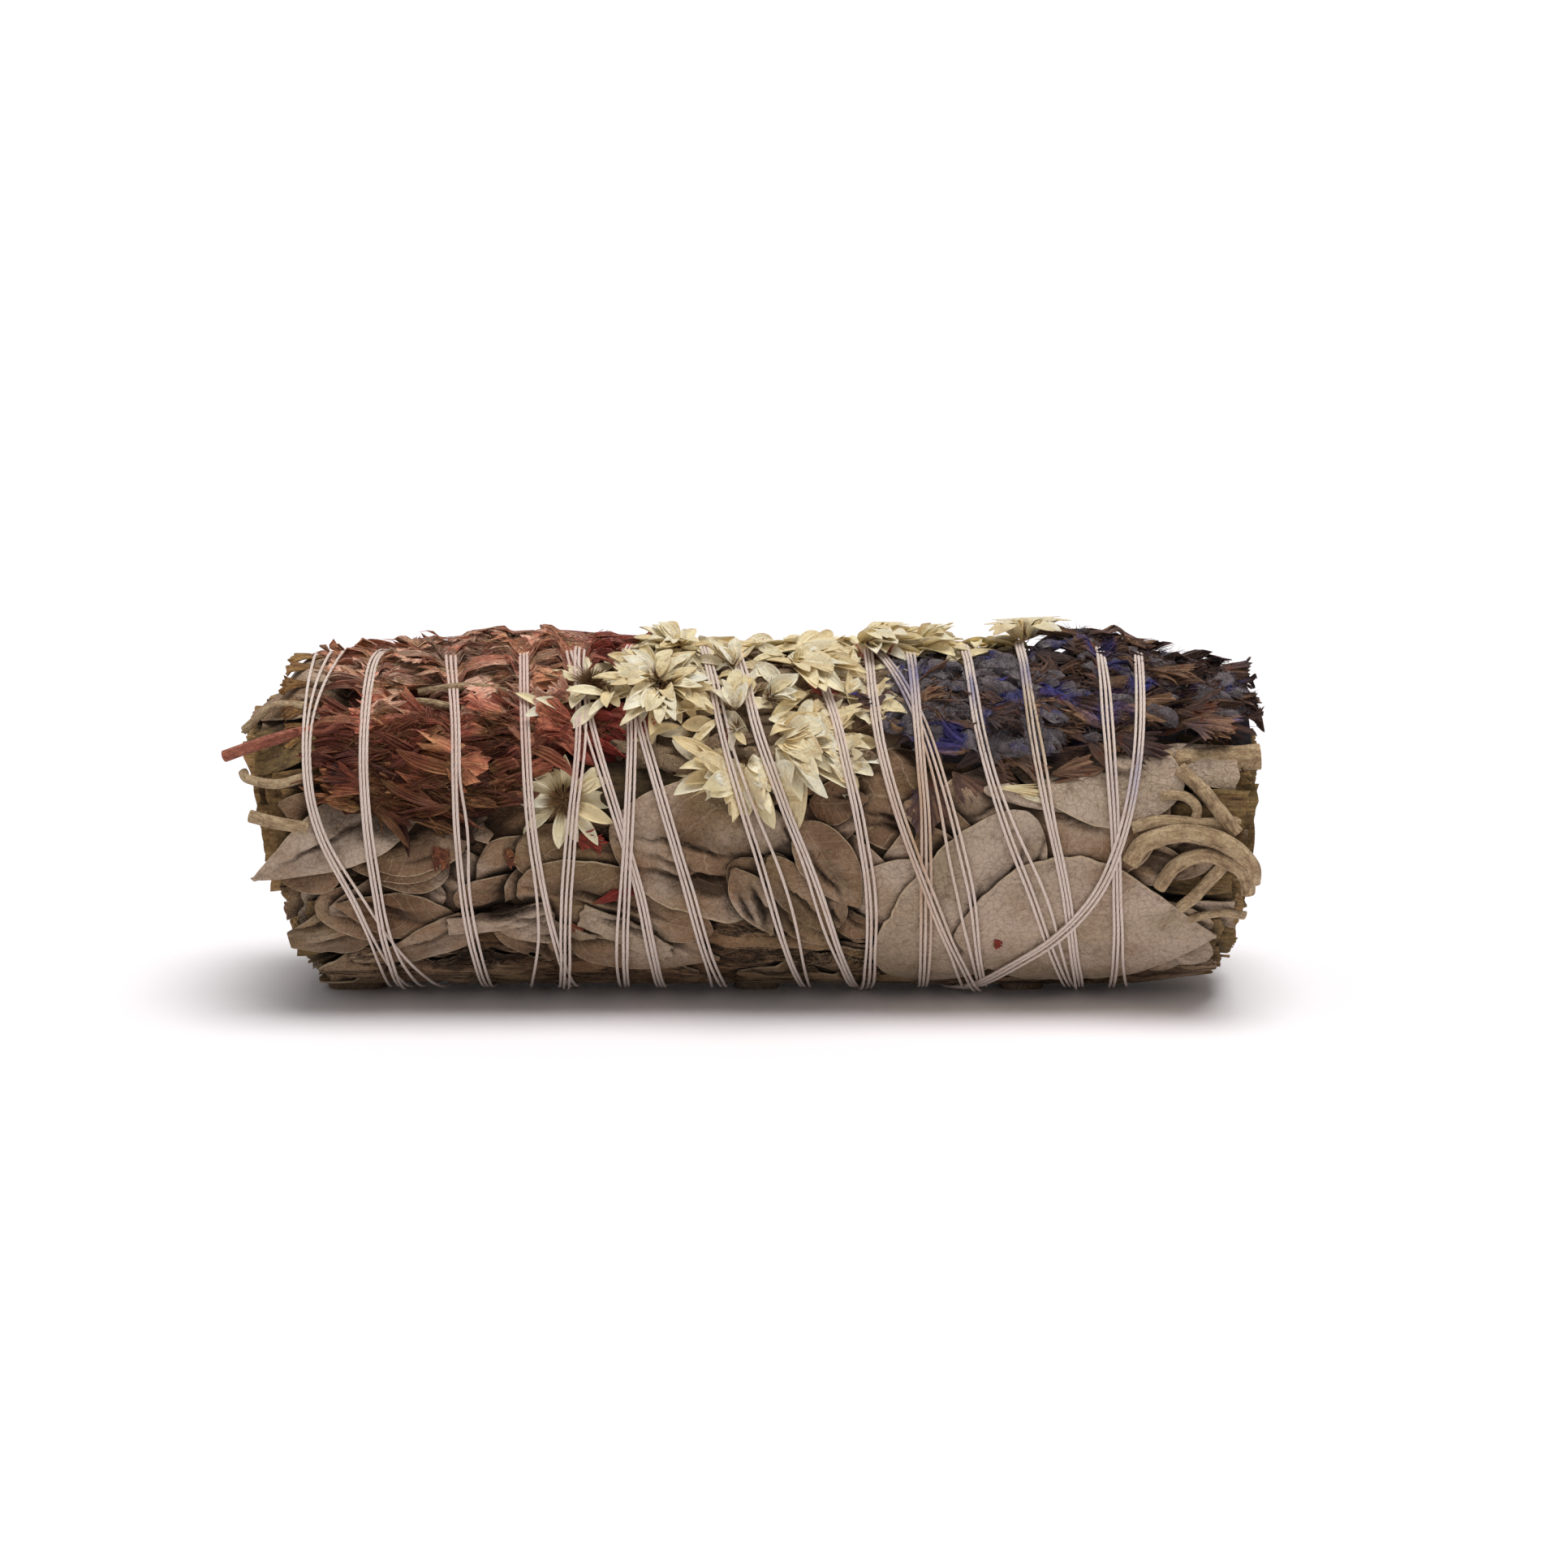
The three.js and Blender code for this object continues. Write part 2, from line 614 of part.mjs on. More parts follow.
// One small dried flower of a spray: a pleated cup on a pinched foot, lying along its heading.
function floret({ x, angle, heading, length, width, lift }) {
  const { along, across, out } = surfaceFrame(angle, heading);
  const root = atDepth(x, angle, bed.top + 0.9);
  const at = (s, side, up) =>
    keepPressed(root.clone().addScaledVector(along, s).addScaledVector(across, side).addScaledVector(out, up));
  const sides = 4;
  const ring = (s, half, up, pleat) => {
    const points = [];
    for (let k = 0; k < sides; k++) {
      const turn = (2 * Math.PI * (k + 0.5)) / sides;
      const wide = half * (1 + pleat * (k % 2 ? -1 : 1));
      points.push(at(s, wide * Math.cos(turn), up + wide * 0.75 * Math.sin(turn)));
    }
    return points;
  };
  return swept([
    ring(-0.15 * length, 0.14 * width, 0, 0),
    ring(0.35 * length, 0.4 * width, 0.55 * lift, 0),
    ring(length * 0.85, 0.5 * width, lift, 0.2),
  ]);
}

// A matted bed of stalks and leaf with the spray's florets standing out of it between the turns.
function sprayOf(spray) {
  const random = drawFrom(spray.seed);
  const columns = Math.round((spray.x[1] - spray.x[0]) / 3);
  const rows = Math.max(3, Math.round((spray.high(0) - spray.low(0)) / 10));
  const outer = [];
  const inner = [];
  for (let i = 0; i <= columns; i++) {
    const x = spray.x[0] + ((spray.x[1] - spray.x[0]) * i) / columns;
    outer.push([]);
    inner.push([]);
    for (let j = 0; j <= rows; j++) {
      const t = j / rows;
      const angle = spray.low(x) + (spray.high(x) - spray.low(x)) * t;
      const brim = 1 - Math.min(1, 4 * Math.min(t, 1 - t, i / columns, 1 - i / columns));
      const top = bed.top + 0.5 * random() + 0.8 * brim + bloomSeat(x, angle, 1.6) * 0.85;
      outer[i].push(atDepth(x, angle, Math.min(top, bed.floor - 0.6)));
      inner[i].push(atDepth(x, angle, bed.floor));
    }
  }
  const pieces = [sheet(outer, inner)];
  let made = 0;
  for (let tries = 0; made < spray.florets && tries < 4000; tries++) {
    const x = spray.x[0] + 1.2 + (spray.x[1] - spray.x[0] - 2.4) * random();
    const angle = spray.low(x) + 4 + (spray.high(x) - spray.low(x) - 8) * random();
    const heading = (random() < 0.5 ? 0 : 180) + 110 * (random() - 0.5);
    const length = spray.length[0] + (spray.length[1] - spray.length[0]) * random();
    const tipX = x + length * Math.cos(radians(heading));
    const tipAngle = angle + (length * Math.sin(radians(heading)) * 3.4);
    const inside = tipX > spray.x[0] && tipX < spray.x[1] && tipAngle > spray.low(tipX) && tipAngle < spray.high(tipX);
    if (!inside || bloomSeat(x, angle, 1) > 0.1 || bloomSeat(tipX, tipAngle, 1) > 0.1) continue;
    pieces.push(floret({ x, angle, heading, length, width: spray.width * (0.8 + 0.4 * random()), lift: 0.9 + 0.9 * random() }));
    made++;
  }
  return pieces;
}

// One pointed petal: a thin blade with a diamond outline.
function petal(foot, tip, across, out, width) {
  const middle = foot.clone().lerp(tip, 0.55);
  const outline = [
    foot,
    middle.clone().addScaledVector(across, width / 2),
    tip,
    middle.clone().addScaledVector(across, -width / 2),
  ];
  const upper = outline.map((point) => keepPressed(point.clone().addScaledVector(out, bloom.petalThickness)));
  return swept([upper.map((point) => point.clone().addScaledVector(out, -bloom.petalThickness)), upper]);
}

// How long a petal may grow before it meets the petals of a neighbouring head.
function freeReach(head, direction, wanted) {
  let reach = wanted;
  for (const other of blooms) {
    const [dx, da] = [other.x - head.x, radians(other.angle - head.angle) * bundle.radius];
    const away = Math.hypot(dx, da);
    const towards = (Math.cos(direction) * dx + Math.sin(direction) * da) / away;
    if (other === head || towards < 0.08) continue;
    reach = Math.min(reach, ((away * head.scale) / (head.scale + other.scale) - 0.5) / towards);
  }
  return Math.max(1.9, reach);
}

// A flower head of pointed petals in two layers round a small domed centre.
function bloomOf(head) {
  const { x, angle, petals, open, scale, heading, lift = 0 } = head;
  const { along, across, out } = surfaceFrame(angle, heading);
  const centre = atDepth(x, angle, bloom.seat);
  const dome = [[1.35, 0], [0.8, 1.35]].map(([r, up]) =>
    [0, 1, 2, 3, 4, 5].map((k) => {
      const turn = (k * Math.PI) / 3;
      const point = centre.clone().addScaledVector(along, r * Math.cos(turn)).addScaledVector(across, r * Math.sin(turn));
      return keepPressed(point.addScaledVector(out, up));
    }),
  );
  const pieces = [swept(dome)];
  const fan = 180 * open + 20;
  for (let k = 0; k < petals; k++) {
    const upper = k % 2;
    const turn = radians(open === 1 ? (360 * k) / petals : fan * ((2 * k) / (petals - 1) - 1));
    const direction = along.clone().multiplyScalar(Math.cos(turn)).addScaledVector(across, Math.sin(turn));
    const side = new THREE.Vector3().crossVectors(out, direction);
    const reach = freeReach(head, turn + radians(heading), bloom.petalLength * scale * (upper ? 0.82 : 1));
    const rise = upper * (0.5 + (1 - open) * 1.8 + lift) + (open < 1 ? 0.5 * Math.max(0, Math.cos(turn)) : 0);
    const foot = centre.clone().addScaledVector(direction, 0.75).addScaledVector(out, 0.06 + 0.63 * upper);
    const tip = foot.clone().addScaledVector(direction, reach - 0.75).addScaledVector(out, rise);
    pieces.push(petal(foot, tip, side, out, bloom.petalWidth * scale));
  }
  return pieces;
}

// A turn of the string: three strands side by side, drawn as one ribbed band in straight runs.
const strandSection = [
  [-1.5, -0.45], [-1, 0.5], [-0.5, 0], [0, 0.5], [0.5, 0], [1, 0.5], [1.5, -0.45],
].map(([side, up]) => [side * string.pitch, up * string.thread]);
const channelSection = [
  [-1, -string.thread / 2 - 0.25], [-1, 7], [1, 7], [1, -string.thread / 2 - 0.25],
].map(([side, up]) => [side * (1.5 * string.pitch + 0.28), up]);

// How many earlier turns one turn lies over at an angle.
function layersUnder(turn, angle) {
  let layers = 0;
  for (let under = 0; under < turn; under++) {
    const away = Math.abs(turnX(turn, angle) - turnX(under, angle));
    if (away < 3.5 * string.pitch) layers = Math.max(layers, layersUnder(under, angle) + 1);
  }
  return layers;
}

// Where each straight run of the string begins, counted from the start of the first turn.
const runs = [];
for (let n = 0; n <= turns.length * string.steps; n++) {
  const turn = Math.min(turns.length - 1, Math.floor(n / string.steps));
  const angle = 90 - (360 / string.steps) * (n - turn * string.steps);
  runs.push({ turn, angle, x: turnX(turn, angle), lift: string.layer * layersUnder(turn, angle) });
}
const lifts = runs.map((_, n) => {
  const near = [];
  for (let part = -4; part <= 4; part++) {
    const along = Math.min(turns.length * string.steps, Math.max(0, n + part / 4));
    const turn = Math.min(turns.length - 1, Math.floor(along / string.steps));
    near.push(layersUnder(turn, 90 - (360 / string.steps) * (along - turn * string.steps)));
  }
  return string.layer * Math.max(...near);
});

function turnOfString(turn, section) {
  const outward = 1 / Math.cos(Math.PI / string.steps);
  const rings = [];
  for (let n = turn * string.steps; n <= (turn + 1) * string.steps; n++) {
    const { angle, x } = runs[n];
    const before = runs[Math.max(0, n - 1)];
    const after = runs[Math.min(runs.length - 1, n + 1)];
    const r = bindRadius(x, angle) * outward + lifts[n];
    const lean = Math.atan2(after.x - before.x, (4 * Math.PI * r) / string.steps);
    const { along, out } = surfaceFrame(angle, (lean * 180) / Math.PI);
    rings.push(section.map(([side, up]) => place(x, angle, r).addScaledVector(along, side).addScaledVector(out, up)));
  }
  return swept(rings);
}

// The knot that ties the string's two ends behind the crest of the left end, with a loose tail.
function knot() {
  const ball = new THREE.IcosahedronGeometry(1.2, 1);
  const centre = atDepth(-41.7, 91, -0.5);
  ball.translate(centre.x, centre.y, centre.z);
  const tail = stalkOf({ radius: 0.3, points: [[-42, 91, -0.6], [-45, 89, -1], [-48.6, 86, -1.6]] });
  return solid(ball).add(tail);
}

// A fold of leaf under the bundle, flat where it rests.
function foot({ x, length, width }) {
  const outer = [];
  const inner = [];
  for (let i = 0; i <= 4; i++) {
    outer.push([]);
    inner.push([]);
    const px = x + length * (i / 4 - 0.5);
    const narrow = 0.72 + 0.28 * Math.sin((Math.PI * i) / 4);
    for (let j = 0; j <= 4; j++) {
      const py = narrow * width * (j / 4 - 0.5);
      const angle = -90 + (Math.asin(py / bundle.radius) * 180) / Math.PI;
      const r = bindRadius(px, angle) - string.clearance + blade.gap - 0.1;
      const above = bundle.axisHeight - Math.sqrt(r * r - py * py);
      outer[i].push(new THREE.Vector3(x + 0.7 * (px - x), 0.55 * py + bundle.axisY, 0));
      inner[i].push(new THREE.Vector3(px, py + bundle.axisY, above));
    }
  }
  return sheet(outer, inner);
}

// Assembly

const smudgeStick = new THREE.Group();
smudgeStick.name = "sage_smudge_stick";

function addPiece(name, look, made) {
  const material = new THREE.MeshStandardMaterial({ ...look, metalness: 0, side: THREE.FrontSide });
  const mesh = new THREE.Mesh(geometryOf(made), material);
  mesh.name = name;
  smudgeStick.add(mesh);
}

const leafDraw = drawFrom(3);
for (const leaf of leaves) addPiece(leaf.name, looks.sage, sageLeaf(leaf, leafDraw));
addPiece("sage_core", looks.sageInner, packedSage());

const channel = fused(turns.map((_, turn) => turnOfString(turn, channelSection)));
for (const spray of sprays) addPiece(spray.name, spray.look, largest(fused(sprayOf(spray)).subtract(channel)));
for (const head of blooms) addPiece(head.name, looks.cream, largest(fused(bloomOf(head)).subtract(channel)));
for (const stalk of stalks) addPiece(stalk.name, stalk.look, stalkOf(stalk));
for (const fold of feet) addPiece(fold.name, looks.sage, foot(fold));
addPiece("binding_string", looks.cotton, fused([...turns.map((_, turn) => turnOfString(turn, strandSection)), knot()]));

export default smudgeStick;
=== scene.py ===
import math

import bpy
import numpy as np
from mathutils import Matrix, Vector


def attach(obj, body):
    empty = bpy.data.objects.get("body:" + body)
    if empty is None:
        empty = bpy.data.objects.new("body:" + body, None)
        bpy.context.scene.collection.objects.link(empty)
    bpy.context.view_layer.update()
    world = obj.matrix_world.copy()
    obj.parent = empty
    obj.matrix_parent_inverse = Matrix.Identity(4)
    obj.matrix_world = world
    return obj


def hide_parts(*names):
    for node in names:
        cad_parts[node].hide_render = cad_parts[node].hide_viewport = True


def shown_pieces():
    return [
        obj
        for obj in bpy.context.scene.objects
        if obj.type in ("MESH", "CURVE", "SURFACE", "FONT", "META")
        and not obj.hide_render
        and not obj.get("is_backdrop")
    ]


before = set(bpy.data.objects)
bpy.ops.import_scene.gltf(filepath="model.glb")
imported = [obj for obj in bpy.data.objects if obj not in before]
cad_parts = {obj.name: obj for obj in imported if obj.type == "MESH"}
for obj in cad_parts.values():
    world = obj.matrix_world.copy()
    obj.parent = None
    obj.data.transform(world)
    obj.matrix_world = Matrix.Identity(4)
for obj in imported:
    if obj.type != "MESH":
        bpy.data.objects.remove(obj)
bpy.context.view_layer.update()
print("loaded the frame")

# The bundle lies along X with its dressed front towards -Y. A place on it is x in millimetres, an
# angle round it in degrees (0 front, 90 top, 180 back, -90 underside) and a radius from its axis.
bundle = {
    "radius": 16.8,  # of the surface that the string lies on
    "sag": 1.15,  # how far its underside settles
    "axisHeight": 18.2,
    "axisY": 0.14,
    "leftEnd": -47.0,
    "rightEnd": 49.6,
    "leftSlant": 3.0,
    "rightSlant": 0.8,
    "reach": (-46.0, 51.2),  # of the flowers along X
}


# Smooth step: 0 at low, 1 at high, 3t^2 - 2t^3 in between.
def ramp(low, high, x):
    t = np.clip((x - low) / (high - low), 0, 1)
    return t * t * (3 - 2 * t)


# A raised cosine: 1 at the middle, 0 from the half width outwards.
def swell(middle, halfWidth, x):
    return 0.5 + 0.5 * np.cos(np.pi * np.clip((x - middle) / halfWidth, -1, 1))


# Value noise from -1 to 1: random numbers on a 64 x 64 lattice, blended by smooth steps both ways.
def lattice(p, q, seed):
    p, q = np.broadcast_arrays(np.asarray(p, float), np.asarray(q, float))
    table = np.random.default_rng(seed).uniform(-1, 1, (64, 64))
    i, j = np.floor(p).astype(int), np.floor(q).astype(int)
    s, t = ramp(0, 1, p - i), ramp(0, 1, q - j)
    near = table[i % 64, j % 64] * (1 - s) + table[(i + 1) % 64, j % 64] * s
    far = table[i % 64, (j + 1) % 64] * (1 - s) + table[(i + 1) % 64, (j + 1) % 64] * s
    return near * (1 - t) + far * t


# Three octaves of the noise above, each half as large and twice as fine.
def crumple(p, q, seed):
    return sum(lattice(p * 2**k, q * 2**k, seed + 31 * k) / 2**k for k in range(3)) / 1.75


# Sharp folds, 1 on the ridge lines: one minus twice the size of the noise, in three octaves.
def creased(p, q, seed):
    return sum((1 - 2 * np.abs(lattice(p * 2**k, q * 2**k, seed + 17 * k))) / 2**k for k in range(3)) / 1.75


# The radius the string lies on: nearly round with low lumps, less at the top of both ends.
def bindRadius(x, angle):
    a = np.radians(angle)
    lumps = 0.22 * np.sin(0.12 * x + 2 * a) + 0.16 * np.sin(0.27 * x - a + 1)
    top, foot = np.maximum(0, np.sin(a)), np.maximum(0, -np.sin(a))
    rightFall = (2.4 * top + 1.2 * foot) * ramp(38, 51, x)
    leftFall = (5.0 + 0.9 * np.sin(5 * a)) * top * ramp(-44.6, -50.6, x)
    crest = 0.5 * top * ramp(-14, -4, x) * ramp(40, 34, x)
    return bundle["radius"] + lumps * (1 - foot) + bundle["sag"] * foot**6 + crest - rightFall - leftFall


# Bundle place to X, Y, Z: y = axisY - r cos(angle), z = axisHeight + r sin(angle), never under the floor.
def place(x, angle, r):
    a = np.radians(angle)
    x, y, z = np.broadcast_arrays(x, bundle["axisY"] - r * np.cos(a), bundle["axisHeight"] + r * np.sin(a))
    return np.stack([x, y, np.maximum(z, 0.01)], -1)


def angleOf(points):
    return np.degrees(np.arctan2(points[..., 2] - bundle["axisHeight"], bundle["axisY"] - points[..., 1]))


def radiusOf(points):
    return np.hypot(points[..., 2] - bundle["axisHeight"], points[..., 1] - bundle["axisY"])


# Where an end's cut face is, as X, at an angle and radius.
def endX(side, angle, r):
    slant = r / bundle["radius"] * np.sin(np.radians(angle))
    left = bundle["leftEnd"] - bundle["leftSlant"] * slant
    return left if side < 0 else bundle["rightEnd"] + bundle["rightSlant"] * slant


# The string: X of the middle strand of each turn at the station angles, in winding order.
string = {
    "stations": [90, 39, 10, -18, -62, -84, -130, -270],
    "turns": [
        [-42.4, -43.9, -43.3, -39.0, -35.4],
        [-30.2, -28.8, -28.8, -28.1, -26.8],
        [-22.8, -21.9, -21.4, -20.2, -18.4],
        [-18.2, -15.3, -12.5, -10.3, -9.0],
        [-12.6, -10.2, -7.8, -5.5, -3.1],
        [-4.4, -2.2, 0.3, 2.8, 5.4],
        [-1.4, 1.0, 4.4, 7.6, 10.5],
        [12.9, 18.2, 20.5, 22.6, 24.0],
        [22.1, 23.3, 25.7, 29.1, 32.5],
        [27.8, 28.8, 30.2, 32.1, 33.8],
        [35.9, 36.3, 36.9, 37.3, 37.7],
        [40.1, 39.6, 38.5, 35.8, 24.6],
        [16.5, 17.5, 18.0, 18.1, 18.2],
        [12.4, 13.2, 15.3, 18.6, 22.6],
        [5.4, 9.4, 11.3, 12.8, 12.7],
        [-12.1, -11.1, -11.5, -12.0, -12.3],
        [-17.2, -16.3, -17.1, -17.8, -18.4],
        [-37.6, -38.1, -37.9, -36.8, -35.4],
    ],
    "lastTurnEndsAt": -41.0,
    "radius": 0.148,
    "spacing": 0.34,
    "samples": 120,  # in one turn
    "sides": 7,
    # where neighbouring strands part: turn, gap (0 left, 1 right of the middle), angle, half width, millimetres
    "fans": [
        (0, 0, 90, 55, 0.9), (0, 1, 90, 60, 0.9), (0, 1, -92, 98, 3.0), (0, 0, -95, 66, 1.9),
        (17, 1, -98, 80, 1.7), (1, 1, 5, 22, 0.45), (2, 0, -98, 92, 4.2), (5, 1, -24, 60, 1.1),
        (7, 0, -14, 50, 0.8), (8, 1, -20, 50, 0.8), (15, 0, -50, 50, 0.3), (6, 0, -30, 30, 0.3),
        (10, 1, -95, 52, 1.1), (16, 1, 40, 40, 0.25), (3, 0, 60, 40, 0.3), (12, 1, -30, 60, 0.2),
        (4, 0, -95, 50, 0.8), (13, 0, -95, 60, 0.9), (9, 1, 30, 30, 0.25), (11, 1, -60, 60, 0.3),
    ],
}


# X of the middle strand of one turn at angles from 90 down to -270, piecewise linear.
def turnX(turn, angle):
    rows = string["turns"]
    following = rows[turn + 1][0] if turn + 1 < len(rows) else string["lastTurnEndsAt"]
    under = 1.4 * rows[turn][-1] - 0.4 * rows[turn][-2]
    xs = [*rows[turn], under, under + 0.2 * (following - under), following]
    return np.interp(-np.asarray(angle, float), [-a for a in string["stations"]], xs)


# A mean over neighbours, weighted by exp(-step^2 / 2 width^2), the first and last repeated.
def smoothed(values, width):
    reach = int(3 * width)
    weights = np.exp(-0.5 * (np.arange(-reach, reach + 1) / width) ** 2)
    padded = np.pad(values, [(0, 0)] * (values.ndim - 1) + [(reach, reach)], mode="edge")
    size = values.shape[-1]
    return sum(w * padded[..., k : k + size] for k, w in enumerate(weights / weights.sum()))


# X of the three strands of every turn at each sample, and how far crossings lift them. The gap
# between neighbours is never less than the spacing; slow noise and the fans open it.
def strandPaths():
    turns, samples = len(string["turns"]), string["samples"]
    angles = 90 - 360 * np.arange(samples) / samples
    xs = np.zeros((turns, 3, samples))
    middles = smoothed(np.concatenate([turnX(turn, angles) for turn in range(turns)]), 3.2)
    slopes = np.gradient(middles) / (2 * np.pi * bundle["radius"] / samples)
    for turn in range(turns):
        wound = turn + (90 - angles) / 360
        own = slice(turn * samples, (turn + 1) * samples)
        spacing = string["spacing"] * np.sqrt(1 + slopes[own] ** 2)
        middle = middles[own] + 0.2 * lattice(wound * 8, 0.5, 5) + 0.06 * lattice(wound * 23, 0.5, 6)
        for gap, sign in ((0, -1), (1, 1)):
            open_ = np.maximum(0, 0.03 + 0.2 * lattice(wound * 7, gap * 9.5 + 0.5, 7) + 0.08 * lattice(wound * 19, gap + 3.5, 8))
            for fanTurn, fanGap, angle, halfWidth, amount in string["fans"]:
                if fanTurn == turn and fanGap == gap:
                    open_ = open_ + amount * swell(angle, halfWidth, angles)
            xs[turn, 1 + sign] = middle + sign * (spacing + open_)
        xs[turn, 1] = middle
    lifts = np.zeros_like(xs)
    for turn in range(turns):
        for under in range(turn):
            for k in range(3):
                away = np.abs(xs[turn] - xs[under, k])
                lifts[turn] = np.maximum(lifts[turn], (lifts[under, k] + 2 * string["radius"]) * (away < 0.48))
    # along the winding: widen each hump and round it
    wound = lifts.transpose(1, 0, 2).reshape(3, -1)
    wide = np.max([np.roll(wound, step, 1) for step in (-2, -1, 0, 1, 2)], 0)
    return angles, xs, smoothed(wide, 2.0)


strandAngles, strandXs, strandLifts = strandPaths()


# Distance along X to the nearest strand, worked out once on a table and read back by blending.
def stringTable():
    xs = np.arange(-57, 57.01, 0.25)
    strands = strandXs.transpose(2, 0, 1).reshape(len(strandAngles), -1)
    return np.abs(xs[None, :, None] - strands[:, None, :]).min(-1)


awayTable = stringTable()


def awayFromString(x, angle):
    wound = np.mod(90 - angle, 360) / 360 * len(strandAngles)
    i = np.floor(wound).astype(int) % len(strandAngles)
    t = wound - np.floor(wound)
    p = np.clip((x + 57) / 0.25, 0, awayTable.shape[1] - 1.001)
    j = p.astype(int)
    s = p - j
    k = (i + 1) % len(strandAngles)
    here = awayTable[i, j] * (1 - s) + awayTable[i, j + 1] * s
    after = awayTable[k, j] * (1 - s) + awayTable[k, j + 1] * s
    return here * (1 - t) + after * t


# How far the flowers pile up along the crest.
def pileUp(x):
    return 0.8 * swell(-23, 13, x) + 0.5 * swell(33, 9, x)


# The highest that anything may stand: just under a strand, and freer away from it up to a cap.
# Along the crest flowers hide the string.
def pressLimit(x, angle, slope=1.6, free=0.3):
    between_ = slope * np.maximum(0, awayFromString(x, angle) - free)
    crest = (1.3 + pileUp(x)) * ramp(84, 90, angle) * ramp(122, 114, angle) * ramp(-41, -38, x) * ramp(46, 42, x)
    cap = 1.9 + 0.4 * lattice(x / 2.5, angle / 9, 57) + pileUp(x) * ramp(70, 84, angle) * ramp(122, 112, angle)
    return bindRadius(x, angle) - 0.24 + np.minimum(cap, np.maximum(crest, between_))


# Points of loose pieces, kept under the strands that cross them and drawn in past the ends. With
# no slope they may lie over the strands, up to 1.9 mm above them.
def keepPressed(points, slope=1.6, free=0.3):
    angle, r = angleOf(points), radiusOf(points)
    x = points[..., 0]
    x = x - 0.75 * np.maximum(0, x - bundle["reach"][1]) - 0.75 * np.minimum(0, x - bundle["reach"][0])
    limit = bindRadius(x, angle) + 1.9 + 0.6 * ramp(80, 88, angle) if slope is None else pressLimit(x, angle, slope, free)
    return place(x, angle, np.minimum(r, limit))


# The two faces of a thin sheet, pressed under the strands but never through each other.
def pressedFaces(middle, normal, thick, press):
    upper, lower = keepPressed(middle + normal * thick, press), keepPressed(middle - normal * thick, press)
    return upper, np.where((radiusOf(upper) - radiusOf(lower) < 0.02)[..., None], upper - 0.05 * normal, lower)


# Directions on the bundle's surface: along a heading, across it and outwards.
def surfaceFrame(angle, heading):
    a, h = np.radians(np.asarray(angle, float)), np.radians(np.asarray(heading, float))
    zero = np.zeros(np.broadcast(a, h).shape)
    out = np.stack([zero, zero - np.cos(a), zero + np.sin(a)], -1)
    around = np.stack([zero, zero + np.sin(a), zero + np.cos(a)], -1)
    along = around * np.sin(h)[..., None]
    along[..., 0] += np.cos(h)
    return along, np.cross(out, along), out


# Meshes. A part is a dict of points, quads, tris, uv and growth (random, along, across, and a fourth value by which the
# materials darken the colour, mostly painted shade; the thread's growth holds its dye colour).

# Turns shells that came out inside out: the sign of each shell's volume tells.
def outward(points, quads, tris):
    corners = points[:, quads]
    a, b, c, d = (corners[:, :, k] for k in range(4))
    volume = (np.cross(b - a, c - a) * (a + b + c)).sum((1, 2)) + (np.cross(c - a, d - a) * (a + c + d)).sum((1, 2))
    count, total = points.shape[:2]
    offsets = (np.arange(count) * total)[:, None, None]
    inside = (volume < 0)[:, None, None]
    allQuads = np.where(inside, quads[None, :, ::-1], quads[None]) + offsets
    allTris = np.where(inside, tris[None, :, ::-1], tris[None]) + offsets
    return allQuads.reshape(-1, 4), allTris.reshape(-1, 3)


# Closed sheets between an outer and an inner grid, (count, rows, columns, 3) each.
def sheetPart(outer, inner, uv, growth):
    count, rows, columns = outer.shape[:3]
    i, j = np.meshgrid(np.arange(rows - 1), np.arange(columns - 1), indexing="ij")
    a = (i * columns + j).ravel()
    under = rows * columns
    top = np.stack([a, a + 1, a + 1 + columns, a + columns], 1)
    rim = np.concatenate([
        np.arange(columns - 1),
        np.arange(rows - 1) * columns + columns - 1,
        (rows - 1) * columns + np.arange(columns - 1, 0, -1),
        np.arange(rows - 1, 0, -1) * columns,
    ])
    nextRim = np.roll(rim, -1)
    edge = np.stack([nextRim, rim, rim + under, nextRim + under], 1)
    quads = np.concatenate([top, (top + under)[:, ::-1], edge])
    points = np.concatenate([outer.reshape(count, -1, 3), inner.reshape(count, -1, 3)], 1)
    allQuads, tris = outward(points, quads, np.zeros((0, 3), int))
    uv = np.broadcast_to(uv, (count, rows, columns, 2)).reshape(count, -1, 2)
    growth = np.broadcast_to(growth, (count, rows, columns, 4)).reshape(count, -1, 4)
    return {
        "points": points.reshape(-1, 3), "quads": allQuads, "tris": tris,
        "uv": np.concatenate([uv, uv], 1).reshape(-1, 2), "growth": np.concatenate([growth, growth], 1).reshape(-1, 4),
    }


